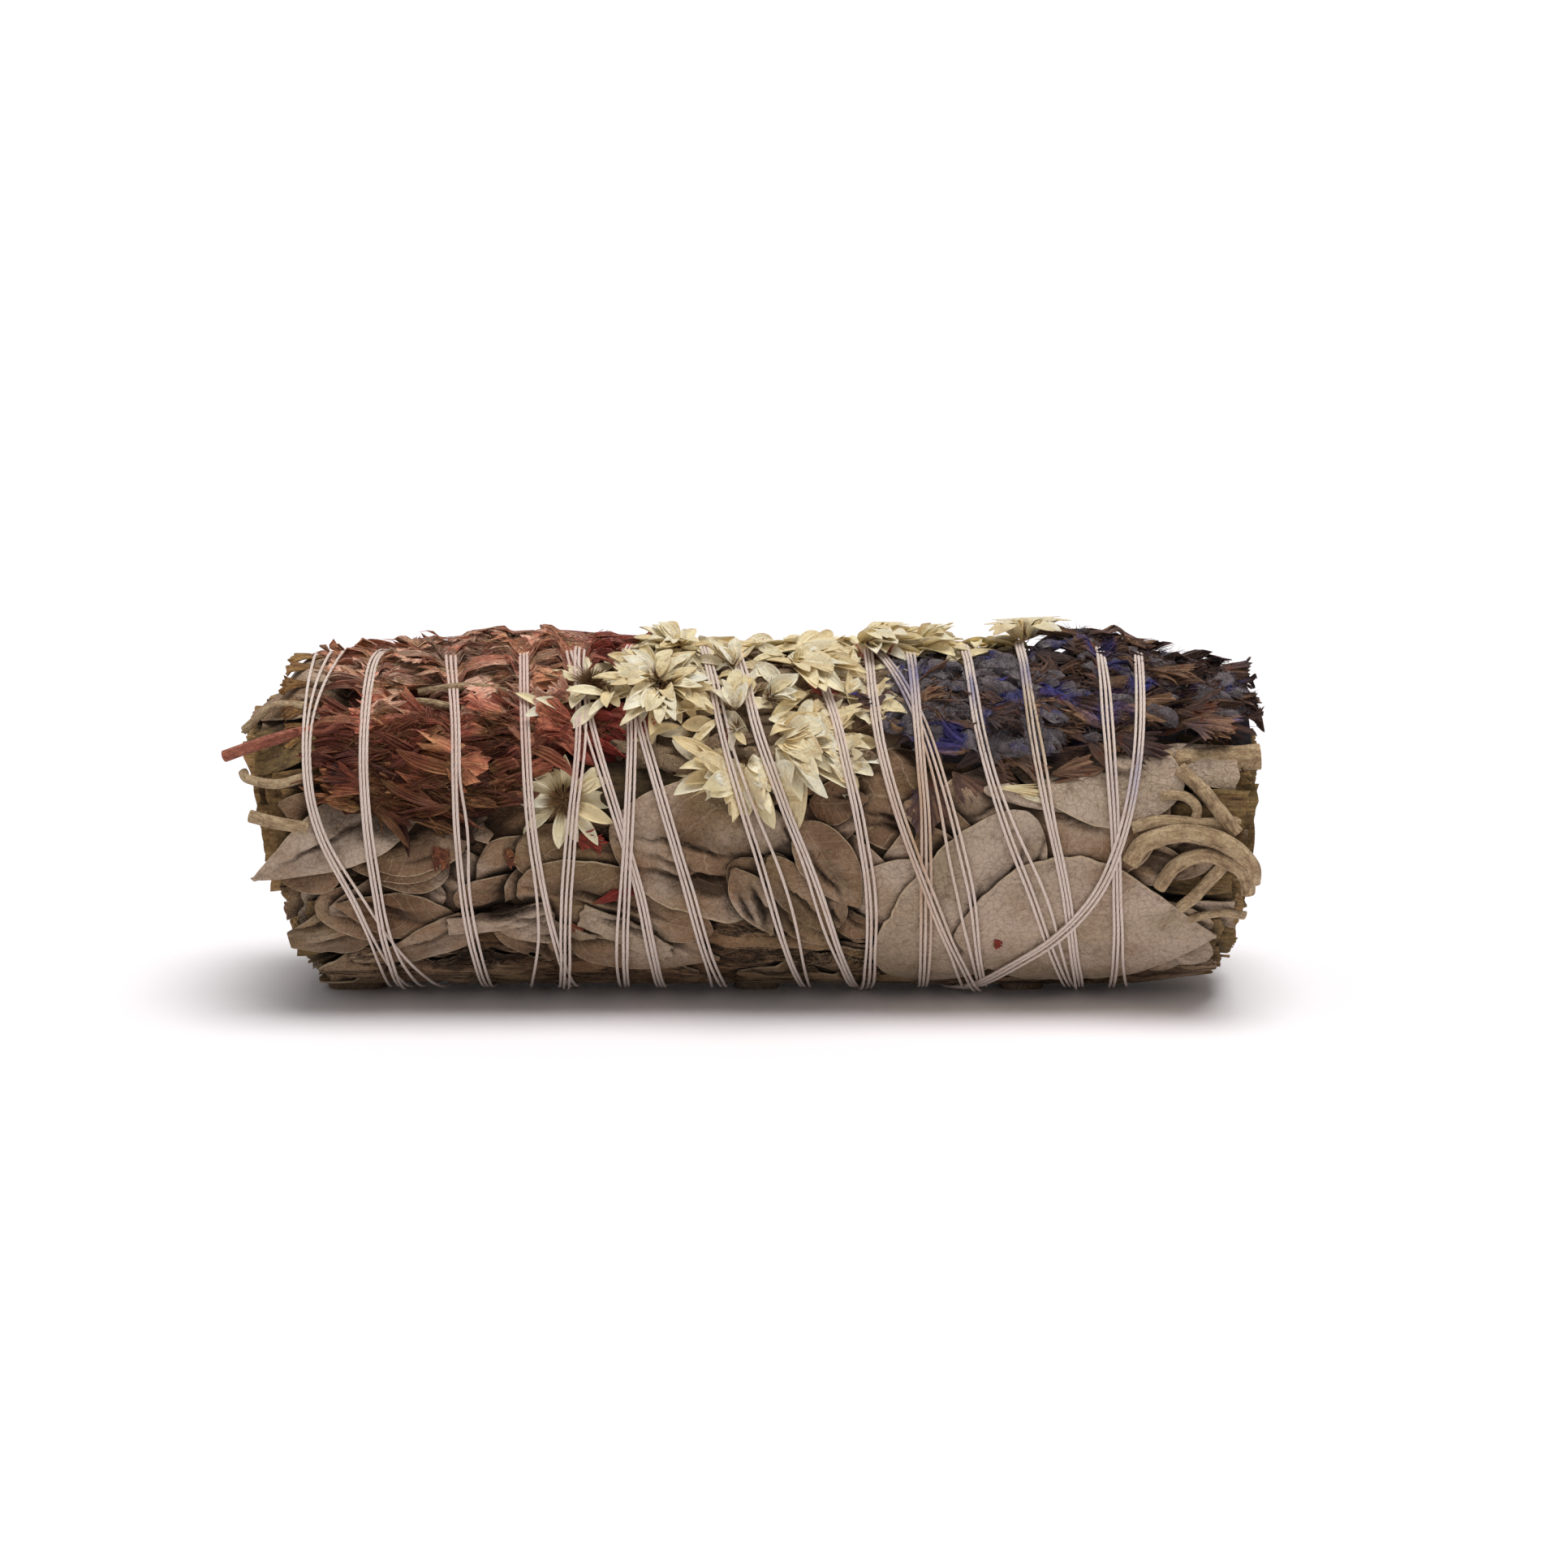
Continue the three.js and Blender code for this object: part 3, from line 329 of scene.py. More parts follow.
# Closed tubes through rings of points, (count, rows, sides, 3), with a pole at each end.
def tubePart(rings, growth):
    count, rows, sides = rings.shape[:3]
    i, j = np.meshgrid(np.arange(rows - 1), np.arange(sides), indexing="ij")
    a, b = (i * sides + j).ravel(), (i * sides + (j + 1) % sides).ravel()
    quads = np.stack([a, b, b + sides, a + sides], 1)
    k = np.arange(sides)
    first, last = rows * sides, rows * sides + 1
    low = np.stack([np.full(sides, first), (k + 1) % sides, k], 1)
    high = np.stack([np.full(sides, last), (rows - 1) * sides + k, (rows - 1) * sides + (k + 1) % sides], 1)
    poles = np.stack([rings[:, 0].mean(1), rings[:, -1].mean(1)], 1)
    points = np.concatenate([rings.reshape(count, -1, 3), poles], 1)
    allQuads, tris = outward(points, quads, np.concatenate([low, high]))
    growth = np.broadcast_to(growth, (count, rows, sides, 4))
    uv = np.stack(np.broadcast_arrays(np.linspace(0, 1, rows)[:, None], np.arange(sides)[None] / sides), -1)
    uv = np.broadcast_to(uv, (count, rows, sides, 2)).reshape(count, -1, 2)
    ends = np.stack([growth[:, 0, 0], growth[:, -1, 0]], 1)
    return {
        "points": points.reshape(-1, 3), "quads": allQuads, "tris": tris,
        "uv": np.concatenate([uv, np.broadcast_to([[0, 0], [1, 0]], (count, 2, 2))], 1).reshape(-1, 2),
        "growth": np.concatenate([growth.reshape(count, -1, 4), ends], 1).reshape(-1, 4),
    }


# Joins parts into one mesh object in metres at the origin. Each part may name its material's index.
def makePiece(name, parts, materials, nodes=(), sharp=48):
    starts = np.cumsum([0] + [len(part["points"]) for part in parts])
    quads = np.concatenate([part["quads"] + start for part, start in zip(parts, starts)])
    tris = np.concatenate([part["tris"] + start for part, start in zip(parts, starts)])
    points = np.concatenate([part["points"] for part in parts]) / 1000
    uv = np.concatenate([part["uv"] for part in parts])
    growth = np.concatenate([part["growth"] for part in parts])
    index = [np.full(len(part[kind]), part.get("material", 0)) for kind in ("quads", "tris") for part in parts]
    mesh = bpy.data.meshes.new(name)
    mesh.vertices.add(len(points))
    mesh.vertices.foreach_set("co", points.ravel())
    corners = np.concatenate([quads.ravel(), tris.ravel()]).astype(np.int32)
    mesh.loops.add(len(corners))
    mesh.loops.foreach_set("vertex_index", corners)
    begins = np.concatenate([np.arange(len(quads)) * 4, len(quads) * 4 + np.arange(len(tris)) * 3]).astype(np.int32)
    mesh.polygons.add(len(begins))
    mesh.polygons.foreach_set("loop_start", begins)
    mesh.polygons.foreach_set("material_index", np.concatenate(index).astype(np.int32))
    mesh.update(calc_edges=True)
    # a face that closes a tube goes on past 1 instead of back to 0
    quadUv, triUv = uv[quads], uv[tris]
    wraps = np.ptp(quadUv[..., 1], axis=1) > 0.75
    quadUv[..., 1] += wraps[:, None] * (quadUv[..., 1] < 0.5)
    layer = mesh.uv_layers.new(name="UVMap")
    layer.data.foreach_set("uv", np.concatenate([quadUv.reshape(-1, 2), triUv.reshape(-1, 2)]).astype(np.float32).ravel())
    attribute = mesh.attributes.new("growth", "FLOAT_COLOR", "POINT")
    attribute.data.foreach_set("color", growth.astype(np.float32).ravel())
    mesh.polygons.foreach_set("use_smooth", np.ones(len(begins), bool))
    mesh.set_sharp_from_angle(angle=math.radians(sharp))
    for material in materials:
        mesh.materials.append(material)
    piece = bpy.data.objects.new(name, mesh)
    bpy.context.scene.collection.objects.link(piece)
    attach(piece, "root")
    if nodes:
        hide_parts(*nodes)
    return piece


# Materials. Patterns are in millimetres on Object coordinates, or on the piece's UV map.

def paint(red, green, blue):
    values = np.array([red, green, blue]) / 255
    linear = np.where(values <= 0.04045, values / 12.92, ((values + 0.055) / 1.055) ** 2.4)
    return (*(float(v) for v in linear), 1.0)


def node(tree, kind, inputs=None, **settings):
    made = tree.nodes.new("ShaderNode" + kind)
    for name, value in settings.items():
        setattr(made, name, value)
    for name, value in (inputs or {}).items():
        if isinstance(value, bpy.types.NodeSocket):
            tree.links.new(value, made.inputs[name])
        else:
            made.inputs[name].default_value = value
    return made


def sums(tree, operation, first, second=0.0, clamp=False):
    return node(tree, "Math", {0: first, 1: second}, operation=operation, use_clamp=clamp).outputs[0]


def blendColours(tree, factor, first, second, blend="MIX"):
    return node(tree, "Mix", {0: factor, 6: first, 7: second}, data_type="RGBA", blend_type=blend).outputs[2]


def colourStops(tree, factor, stops):
    made = node(tree, "ValToRGB", {"Fac": factor})
    elements = made.color_ramp.elements
    while len(elements) < len(stops):
        elements.new(0.5)
    for element, (position, colour) in zip(elements, stops):
        element.position = position
        element.color = colour if len(colour) == 4 else (*colour, 1)
    return made.outputs[0]


def between(tree, value, low, high, toLow=0.0, toHigh=1.0):
    made = node(tree, "MapRange", {"Value": value, "From Min": low, "From Max": high, "To Min": toLow, "To Max": toHigh})
    return made.outputs[0]


# Noise whose usual range, 0.3 to 0.7, is spread out to 0 to 1.
def cloud(tree, vector, scale, detail=3.0, roughness=0.55, distortion=0.0):
    inputs = {"Vector": vector, "Scale": scale, "Detail": detail, "Roughness": roughness, "Distortion": distortion}
    return between(tree, node(tree, "TexNoise", inputs).outputs[0], 0.3, 0.7)


def weighted(tree, *pairs):
    total = sums(tree, "MULTIPLY", *pairs[0])
    for value, weight in pairs[1:]:
        total = node(tree, "Math", {0: value, 1: weight, 2: total}, operation="MULTIPLY_ADD").outputs[0]
    return total


def cells(tree, vector, scale, feature="F1", randomness=1.0):
    return node(tree, "TexVoronoi", {"Vector": vector, "Scale": scale, "Randomness": randomness}, feature=feature).outputs[0]


def stretched(tree, vector, scale):
    return node(tree, "Mapping", {"Vector": vector, "Scale": scale}).outputs[0]


def millimetres(tree):
    return stretched(tree, node(tree, "TexCoord").outputs["Object"], (1000, 1000, 1000))


def onUv(tree, scale):
    return stretched(tree, node(tree, "UVMap", uv_map="UVMap").outputs[0], (*scale, 1))


def growthOf(tree):
    attribute = node(tree, "Attribute", attribute_name="growth", attribute_type="GEOMETRY")
    parts = node(tree, "SeparateColor", {0: attribute.outputs["Color"]})
    return parts.outputs[0], parts.outputs[1], parts.outputs[2], attribute.outputs["Alpha"]


def newMaterial(name, roughness, sheen=0.0, specular=0.3, subsurface=0.0):
    material = bpy.data.materials.new(name)
    material.use_nodes = True
    tree = material.node_tree
    shader = tree.nodes["Principled BSDF"]
    shader.inputs["Roughness"].default_value = roughness
    shader.inputs["Specular IOR Level"].default_value = specular
    shader.inputs["Sheen Weight"].default_value = sheen
    shader.inputs["Sheen Roughness"].default_value = 0.6
    if subsurface:
        shader.inputs["Subsurface Weight"].default_value = subsurface
        shader.inputs["Subsurface Radius"].default_value = (1.0, 0.8, 0.5)
        shader.inputs["Subsurface Scale"].default_value = 0.0006
    return material, tree, shader


def finishMaterial(tree, shader, colour, bumps):
    tree.links.new(colour, shader.inputs["Base Color"])
    normal = None
    for height, strength, distance in bumps:
        inputs = {"Height": height, "Strength": strength, "Distance": distance}
        if normal is not None:
            inputs["Normal"] = normal
        normal = node(tree, "Bump", inputs).outputs[0]
    if normal is not None:
        tree.links.new(normal, shader.inputs["Normal"])


# Sage leaf: grey-taupe pebbled nap, a pale edge that is partly the leaf's own margin and partly a painted highlight,
# side veins slanting off the midrib, brown blotches, and on rolled leaves long crack lines where a noise drawn out
# along the bundle crosses its middle, grooved by bump and painted dark as shade. The growth's fourth value darkens
# it all as painted shade.
leafLook = {
    "pale": (196, 174, 154),
    "middle": (152, 122, 95),
    "brown": (98, 68, 45),
    "dark": (42, 27, 18),
    "olive": (134, 116, 80),
    "edge": (202, 179, 148),
    "pebble": 3.4,  # per millimetre
    "blotch": 0.15,
    "veins": 9.0,
}


def sageLeafMaterial(name, look, shadedCracks=0.0, veinStrength=0.34):
    material, tree, shader = newMaterial(name, 0.88, sheen=0.03, specular=0.15)
    vector = millimetres(tree)
    random, along, across, shade = growthOf(tree)
    streaks = cloud(tree, stretched(tree, vector, (0.3, 1.0, 1.0)), 1.1, 4.0, 0.65)
    tone = weighted(tree, (random, 0.76), (cloud(tree, vector, look["blotch"], 3.0, 0.55), 0.5), (streaks, 0.14))
    colour = colourStops(tree, tone, [
        (0.3, paint(*look["brown"])), (0.62, paint(*look["middle"])), (0.98, paint(*look["pale"])),
    ])
    colour = blendColours(tree, between(tree, cloud(tree, vector, 0.09), 0.5, 0.9, 0.0, 0.5), colour, paint(*look["olive"]))
    colour = blendColours(tree, between(tree, cloud(tree, vector, 0.6, 5.0, 0.7), 0.6, 1.0, 0.0, 0.55), colour, paint(*look["brown"]))
    # nap: pebbles with dark joints, a pale grain and a few specks
    fine = cells(tree, vector, look["pebble"], "SMOOTH_F1")
    colour = blendColours(tree, between(tree, fine, 0.35, 0.8, 0.0, 0.2), colour, paint(*look["dark"]))
    grain = cloud(tree, vector, 5.0, 3.0, 0.7)
    colour = blendColours(tree, between(tree, grain, 0.5, 1.0, 0.0, 0.1), colour, paint(*look["edge"]))
    speckled = sums(tree, "MULTIPLY", between(tree, cells(tree, vector, 1.2), 0.12, 0.06), between(tree, cloud(tree, vector, 0.25), 0.5, 0.75))
    colour = blendColours(tree, sums(tree, "MULTIPLY", speckled, 0.5), colour, paint(*look["dark"]))
    # veins: the midrib, and stripes that slant towards the tip
    fromRib = sums(tree, "ABSOLUTE", sums(tree, "SUBTRACT", across, 0.5))
    stripes = sums(tree, "SUBTRACT", sums(tree, "MULTIPLY", along, look["veins"]), sums(tree, "MULTIPLY", fromRib, 3.2))
    saw = sums(tree, "PINGPONG", sums(tree, "ADD", stripes, sums(tree, "MULTIPLY", cloud(tree, vector, 0.4, 2.0), 0.4)), 0.5)
    veins = sums(tree, "MAXIMUM", between(tree, saw, 0.06, 0.0), between(tree, fromRib, 0.024, 0.0), clamp=True)
    colour = blendColours(tree, sums(tree, "MULTIPLY", veins, veinStrength), colour, paint(*look["edge"]))
    net = cells(tree, vector, 1.15, "DISTANCE_TO_EDGE")
    colour = blendColours(tree, between(tree, net, 0.05, 0.0, 0.0, 0.3), colour, paint(*look["brown"]))
    # the rim: the leaf's pale margin, partly a painted highlight along its edge
    rim = between(tree, sums(tree, "ADD", fromRib, sums(tree, "MULTIPLY", cloud(tree, vector, 1.6, 2.0), 0.012)), 0.486, 0.5)
    colour = blendColours(tree, sums(tree, "MULTIPLY", rim, 0.7), colour, paint(*look["edge"]))
    bumps = [(between(tree, net, 0.0, 0.1), 0.35, 0.00015), (veins, 0.35, 0.0002), (fine, 0.5, 0.00024), (cloud(tree, vector, 1.5, 4.0, 0.6), 0.45, 0.0005)]
    if shadedCracks:
        drawn = cloud(tree, stretched(tree, vector, (0.06, 0.36, 0.36)), 1.0, 5.0, 0.62, 0.5)
        off = sums(tree, "ABSOLUTE", sums(tree, "SUBTRACT", drawn, 0.5))
        # painted shade down the crack lines, in patches
        crackShade = sums(tree, "MULTIPLY", between(tree, off, 0.045, 0.0), between(tree, cloud(tree, vector, 0.13), 0.2, 0.5))
        colour = blendColours(tree, sums(tree, "MULTIPLY", crackShade, shadedCracks), colour, paint(*look["dark"]))
        bumps.append((between(tree, off, 0.0, 0.13), 0.9, 0.0009))
    # painted shade: the growth's fourth value darkens the colour
    colour = blendColours(tree, shade, colour, blendColours(tree, 0.85, colour, paint(*look["dark"])))
    finishMaterial(tree, shader, colour, bumps)
    return material


# Packed and cut leaf seen end on: olive to tan streaks along the bundle, with painted shade in the gaps between them,
# and more painted shade from the growth's fourth value and a fixed added amount.
cutLook = {"olive": (142, 116, 72), "tan": (192, 150, 98), "brown": (106, 72, 44), "dark": (30, 20, 12), "pale": (214, 182, 134)}


def cutLeafMaterial(name, look, addedShade=0.0):
    material, tree, shader = newMaterial(name, 0.92, sheen=0.08, specular=0.15)
    vector = millimetres(tree)
    random, along, across, shade = growthOf(tree)
    streaks = cloud(tree, stretched(tree, vector, (0.22, 1.7, 1.7)), 1.0, 5.0, 0.7)
    tone = weighted(tree, (random, 0.62), (streaks, 0.42))
    colour = colourStops(tree, tone, [
        (0.08, paint(*look["brown"])), (0.38, paint(*look["olive"])), (0.68, paint(*look["tan"])), (0.98, paint(*look["pale"])),
    ])
    fine = cells(tree, vector, 3.0, "SMOOTH_F1")
    colour = blendColours(tree, between(tree, fine, 0.35, 0.8, 0.0, 0.45), colour, paint(*look["dark"]))
    # painted shade in the gaps between the streaks
    colour = blendColours(tree, between(tree, streaks, 0.25, 0.0, 0.0, 0.7), colour, paint(*look["dark"]))
    # painted shade from the growth's fourth value plus the added amount
    colour = blendColours(tree, sums(tree, "ADD", shade, addedShade, clamp=True), colour, paint(*look["dark"]))
    finishMaterial(tree, shader, colour, [(streaks, 0.8, 0.0006), (fine, 0.5, 0.0002)])
    return material


# Dried stalk: long fibres in its own direction, read off the UV map, under a short nap.
def stalkMaterial(name, pale, middle, dark, nap=0.1):
    material, tree, shader = newMaterial(name, 0.85, sheen=nap, specular=0.2)
    vector = millimetres(tree)
    random, along, across, shade = growthOf(tree)
    fibres = cloud(tree, onUv(tree, (5, 9)), 1.0, 4.0, 0.65)
    tone = weighted(tree, (fibres, 0.5), (cloud(tree, vector, 0.7, 4.0, 0.6), 0.3), (random, 0.2))
    colour = colourStops(tree, tone, [(0.15, paint(*dark)), (0.48, paint(*middle)), (0.85, paint(*pale))])
    fine = cells(tree, vector, 4.0, "SMOOTH_F1")
    colour = blendColours(tree, between(tree, fine, 0.35, 0.8, 0.0, 0.4), colour, paint(*dark))
    colour = blendColours(tree, shade, colour, paint(*dark))
    finishMaterial(tree, shader, colour, [(fibres, 0.7, 0.0005), (fine, 0.6, 0.00025)])
    return material


# Red flowers: tan at the foot, red-brown beyond, lengthwise ridges, deeper red towards the cream ones. Their tone rises
# with height, which is painted light on the top, and the growth's fourth value darkens them as painted shade.
redLook = {
    "foot": (204, 160, 98),
    "light": (255, 204, 176),
    "tan": (228, 148, 118),
    "rust": (188, 98, 74),
    "red": (134, 56, 42),
    "deep": (54, 22, 17),
    "velvet": (188, 60, 46),
    "dry": (148, 92, 52),
    "ochre": (222, 172, 104),
    "ridges": 8.0,
}


def redMaterial(name, look):
    material, tree, shader = newMaterial(name, 0.7, sheen=0.04, specular=0.3)
    vector = millimetres(tree)
    random, along, across, shade = growthOf(tree)
    ridges = cloud(tree, onUv(tree, (1.2, look["ridges"])), 1.0, 3.0, 0.6, 0.3)
    spot = node(tree, "SeparateXYZ", {0: vector})
    # tone rises with height from 27 to 34 mm: painted light on the top of the bundle
    tone = weighted(tree, (random, 0.44), (ridges, 0.44), (between(tree, spot.outputs[2], 27.0, 34.0), 0.5))
    colour = colourStops(tree, tone, [
        (0.08, paint(*look["deep"])), (0.3, paint(*look["red"])), (0.55, paint(*look["rust"])), (0.78, paint(*look["tan"])), (0.97, paint(*look["light"])),
    ])
    east = spot.outputs[0]
    low = weighted(tree, (between(tree, spot.outputs[2], 31.0, 22.0), 0.5), (between(tree, cloud(tree, vector, 0.3, 3.0), 0.4, 0.9), 0.4))
    dry = colourStops(tree, tone, [(0.12, paint(*look["deep"])), (0.36, paint(*look["dry"])), (0.66, paint(*look["ochre"]))])
    colour = blendColours(tree, sums(tree, "MULTIPLY", low, between(tree, east, -14.0, -20.0)), colour, dry)
    velvet = sums(tree, "MULTIPLY", between(tree, east, -20.0, -14.5, 0.0, 0.85), between(tree, ridges, 0.1, 0.6, 0.45, 1.0))
    colour = blendColours(tree, velvet, colour, paint(*look["velvet"]))
    footed = sums(tree, "MULTIPLY", between(tree, along, 0.4, 0.04), between(tree, random, 0.25, 0.7, 0.25, 0.9))
    colour = blendColours(tree, footed, colour, paint(*look["foot"]))
    # painted shade from the growth's fourth value
    colour = blendColours(tree, shade, colour, paint(*look["deep"]))
    finishMaterial(tree, shader, colour, [(ridges, 1.0, 0.0009), (cloud(tree, vector, 4.0, 3.0), 0.35, 0.00025)])
    return material


# Cream bracts: straw, nearly white along the middle, fine lines, yellow-green or brown at the foot.
creamLook = {
    "white": (255, 249, 226),
    "straw": (253, 234, 186),
    "shade": (230, 198, 144),
    "foot": (190, 150, 84),
    "lines": 11.0,
}


def creamMaterial(name, look):
    material, tree, shader = newMaterial(name, 0.5, sheen=0.05, specular=0.35, subsurface=0.2)
    vector = millimetres(tree)
    random, along, across, shade = growthOf(tree)
    lines = cloud(tree, onUv(tree, (0.8, look["lines"])), 1.0, 2.0, 0.5)
    tone = weighted(tree, (random, 0.6), (lines, 0.34))
    colour = colourStops(tree, tone, [
        (0.1, paint(*look["shade"])), (0.45, paint(*look["straw"])), (0.85, paint(*look["white"])),
    ])
    colour = blendColours(tree, between(tree, along, 0.36, 0.0, 0.0, 0.6), colour, paint(*look["foot"]))
    colour = blendColours(tree, between(tree, cloud(tree, vector, 0.45, 4.0), 0.6, 1.0, 0.0, 0.4), colour, paint(*look["shade"]))
    colour = blendColours(tree, between(tree, cloud(tree, vector, 0.2, 2.0), 0.72, 0.9, 0.0, 0.25), colour, paint(232, 212, 132))
    # painted shade from the growth's fourth value
    colour = blendColours(tree, shade, colour, paint(150, 110, 66))
    finishMaterial(tree, shader, colour, [(lines, 0.5, 0.0003), (cloud(tree, vector, 1.3, 2.0), 0.4, 0.0004)])
    return material


# Wool: matted fibres as noise at three scales, a strong nap, and stained patches.
def woolMaterial(name, pale, middle, dark, stain=None, stainAmount=0.0):
    material, tree, shader = newMaterial(name, 0.95, sheen=0.12, specular=0.1)
    vector = millimetres(tree)
    random, along, across, shade = growthOf(tree)
    mat = cloud(tree, vector, 2.6, 6.0, 0.8, 1.9)
    tone = weighted(tree, (mat, 0.6), (cloud(tree, vector, 0.5, 3.0, 0.6), 0.25), (random, 0.15))
    colour = colourStops(tree, tone, [(0.18, paint(*dark)), (0.5, paint(*middle)), (0.82, paint(*pale))])
    if stain:
        patches = between(tree, cloud(tree, vector, 0.24, 2.0), 0.66, 0.85, 0.0, stainAmount)
        colour = blendColours(tree, sums(tree, "MULTIPLY", patches, between(tree, mat, 0.1, 0.7, 1.0, 0.55)), colour, paint(*stain))
    # painted shade from the growth's fourth value
    colour = blendColours(tree, shade, colour, paint(*dark))
    finishMaterial(tree, shader, colour, [(mat, 1.0, 0.0011), (cloud(tree, vector, 7.0, 3.0), 0.6, 0.0003)])
    return material


# Pleated brown brushes of the blue flowers, streaked along their length and stained blue in places.
brushLook = {
    "night": (44, 31, 29), "plum": (118, 86, 76), "brown": (172, 128, 98), "gold": (214, 168, 122), "light": (240, 206, 166),
    "cobalt": (52, 66, 168), "slate": (98, 88, 104),
}


def brushMaterial(name, look):
    material, tree, shader = newMaterial(name, 0.75, sheen=0.04, specular=0.3)
    vector = millimetres(tree)
    random, along, across, shade = growthOf(tree)
    streaks = cloud(tree, onUv(tree, (1.0, 9)), 1.0, 4.0, 0.7, 0.25)
    tone = weighted(tree, (random, 0.5), (streaks, 0.5))
    colour = colourStops(tree, tone, [
        (0.12, paint(*look["night"])), (0.38, paint(*look["plum"])), (0.62, paint(*look["brown"])), (0.84, paint(*look["gold"])), (0.98, paint(*look["light"])),
    ])
    colour = blendColours(tree, between(tree, cloud(tree, vector, 0.22, 2.0), 0.55, 0.9, 0.0, 0.5), colour, paint(*look["slate"]))
    rusty = between(tree, cloud(tree, vector, 0.5, 2.0), 0.78, 0.92, 0.0, 0.7)
    colour = blendColours(tree, rusty, colour, paint(150, 84, 54))
    above = between(tree, node(tree, "SeparateXYZ", {0: vector}).outputs[2], 26.0, 28.0)
    stain = sums(tree, "MULTIPLY", between(tree, cloud(tree, vector, 0.2, 1.0), 0.74, 0.98, 0.0, 0.8), above)
    colour = blendColours(tree, stain, colour, paint(*look["cobalt"]))
    # painted shade from the growth's fourth value
    colour = blendColours(tree, shade, colour, paint(*look["night"]))
    finishMaterial(tree, shader, colour, [(streaks, 1.0, 0.0009), (cloud(tree, vector, 5.0, 3.0), 0.4, 0.00025)])
    return material


# Cotton: two plies read as slanting bands on the UV map, dyed by what the thread lies on. The grooves between
# the plies are greyer, which is painted shade; worn patches are greyer too.
def cottonMaterial(name):
    material, tree, shader = newMaterial(name, 0.85, sheen=0.3, specular=0.15)
    vector = millimetres(tree)
    dyed = node(tree, "Attribute", attribute_name="growth", attribute_type="GEOMETRY").outputs["Color"]
    place_ = node(tree, "SeparateXYZ", {0: node(tree, "UVMap", uv_map="UVMap").outputs[0]})
    turns = weighted(tree, (place_.outputs[0], 2300.0), (place_.outputs[1], 2.0))
    ply = sums(tree, "PINGPONG", turns, 0.5)
    fibre = cloud(tree, vector, 6.0, 4.0, 0.7)
    # greyed thread: painted shade in the ply grooves, and worn patches
    grey = blendColours(tree, 1.0, dyed, paint(222, 203, 189), "MULTIPLY")
    colour = blendColours(tree, weighted(tree, (between(tree, ply, 0.0, 0.16), 0.6), (fibre, 0.4)), grey, dyed)
    worn = between(tree, cloud(tree, vector, 0.5, 3.0), 0.55, 1.0, 0.0, 0.35)
    colour = blendColours(tree, worn, colour, grey)
    finishMaterial(tree, shader, colour, [(ply, 0.6, 0.0002), (fibre, 0.4, 0.00015)])
    return material


materials = {
    "leaf": sageLeafMaterial("sage_leaf_nap", leafLook),
    "rolled": sageLeafMaterial("rolled_sage_leaf", {**leafLook, "pale": (192, 164, 136), "middle": (150, 117, 86)}, 0.85, 0.15),
    # the packed heart gets 0.3 more painted shade
    "core": cutLeafMaterial("packed_sage", cutLook, 0.3),
    "cut": cutLeafMaterial("cut_sage", cutLook),
    "stalk": stalkMaterial("sage_stalk", (218, 192, 152), (176, 147, 111), (92, 66, 45)),
    "redStalk": stalkMaterial("red_stalk", (212, 142, 112), (168, 96, 74), (92, 48, 38)),
    "red": redMaterial("red_flower", redLook),
    "cream": creamMaterial("cream_bract", creamLook),
    "felt": woolMaterial("felted_stalk", (242, 212, 176), (204, 170, 134), (120, 88, 64)),
    "blue": woolMaterial("blue_wool", (206, 192, 192), (142, 130, 134), (54, 46, 52), (54, 66, 168), 0.85),
    "brush": brushMaterial("brown_brush", brushLook),
    "cotton": cottonMaterial("cotton_thread"),
    "heart": stalkMaterial("flower_heart", (206, 168, 104), (158, 112, 62), (84, 54, 32)),
}
print("made the materials")


# Flowers' places: each spray's box on the bundle, with its bed this deep under the string.
sprays = {
    "red_spray_front": {"x": (-41.0, -12.4), "low": lambda x: 9 + 25 * ramp(-27, -17, x), "high": lambda x: 53 + 0 * x},
    "red_spray_top": {"x": (-40.0, -13.4), "low": lambda x: 57 + 0 * x, "high": lambda x: 111 + 0 * x},
    "blue_spray_left": {"x": (14.2, 31.4), "low": lambda x: 29 + 12 * ramp(20, 14, x), "high": lambda x: 80 + 8 * ramp(29, 31, x)},
    "blue_spray_right": {"x": (32.0, 51.0), "low": lambda x: 33 + 9 * ramp(34, 39, x), "high": lambda x: 112 + 0 * x},
}
bedDepth = 3.1

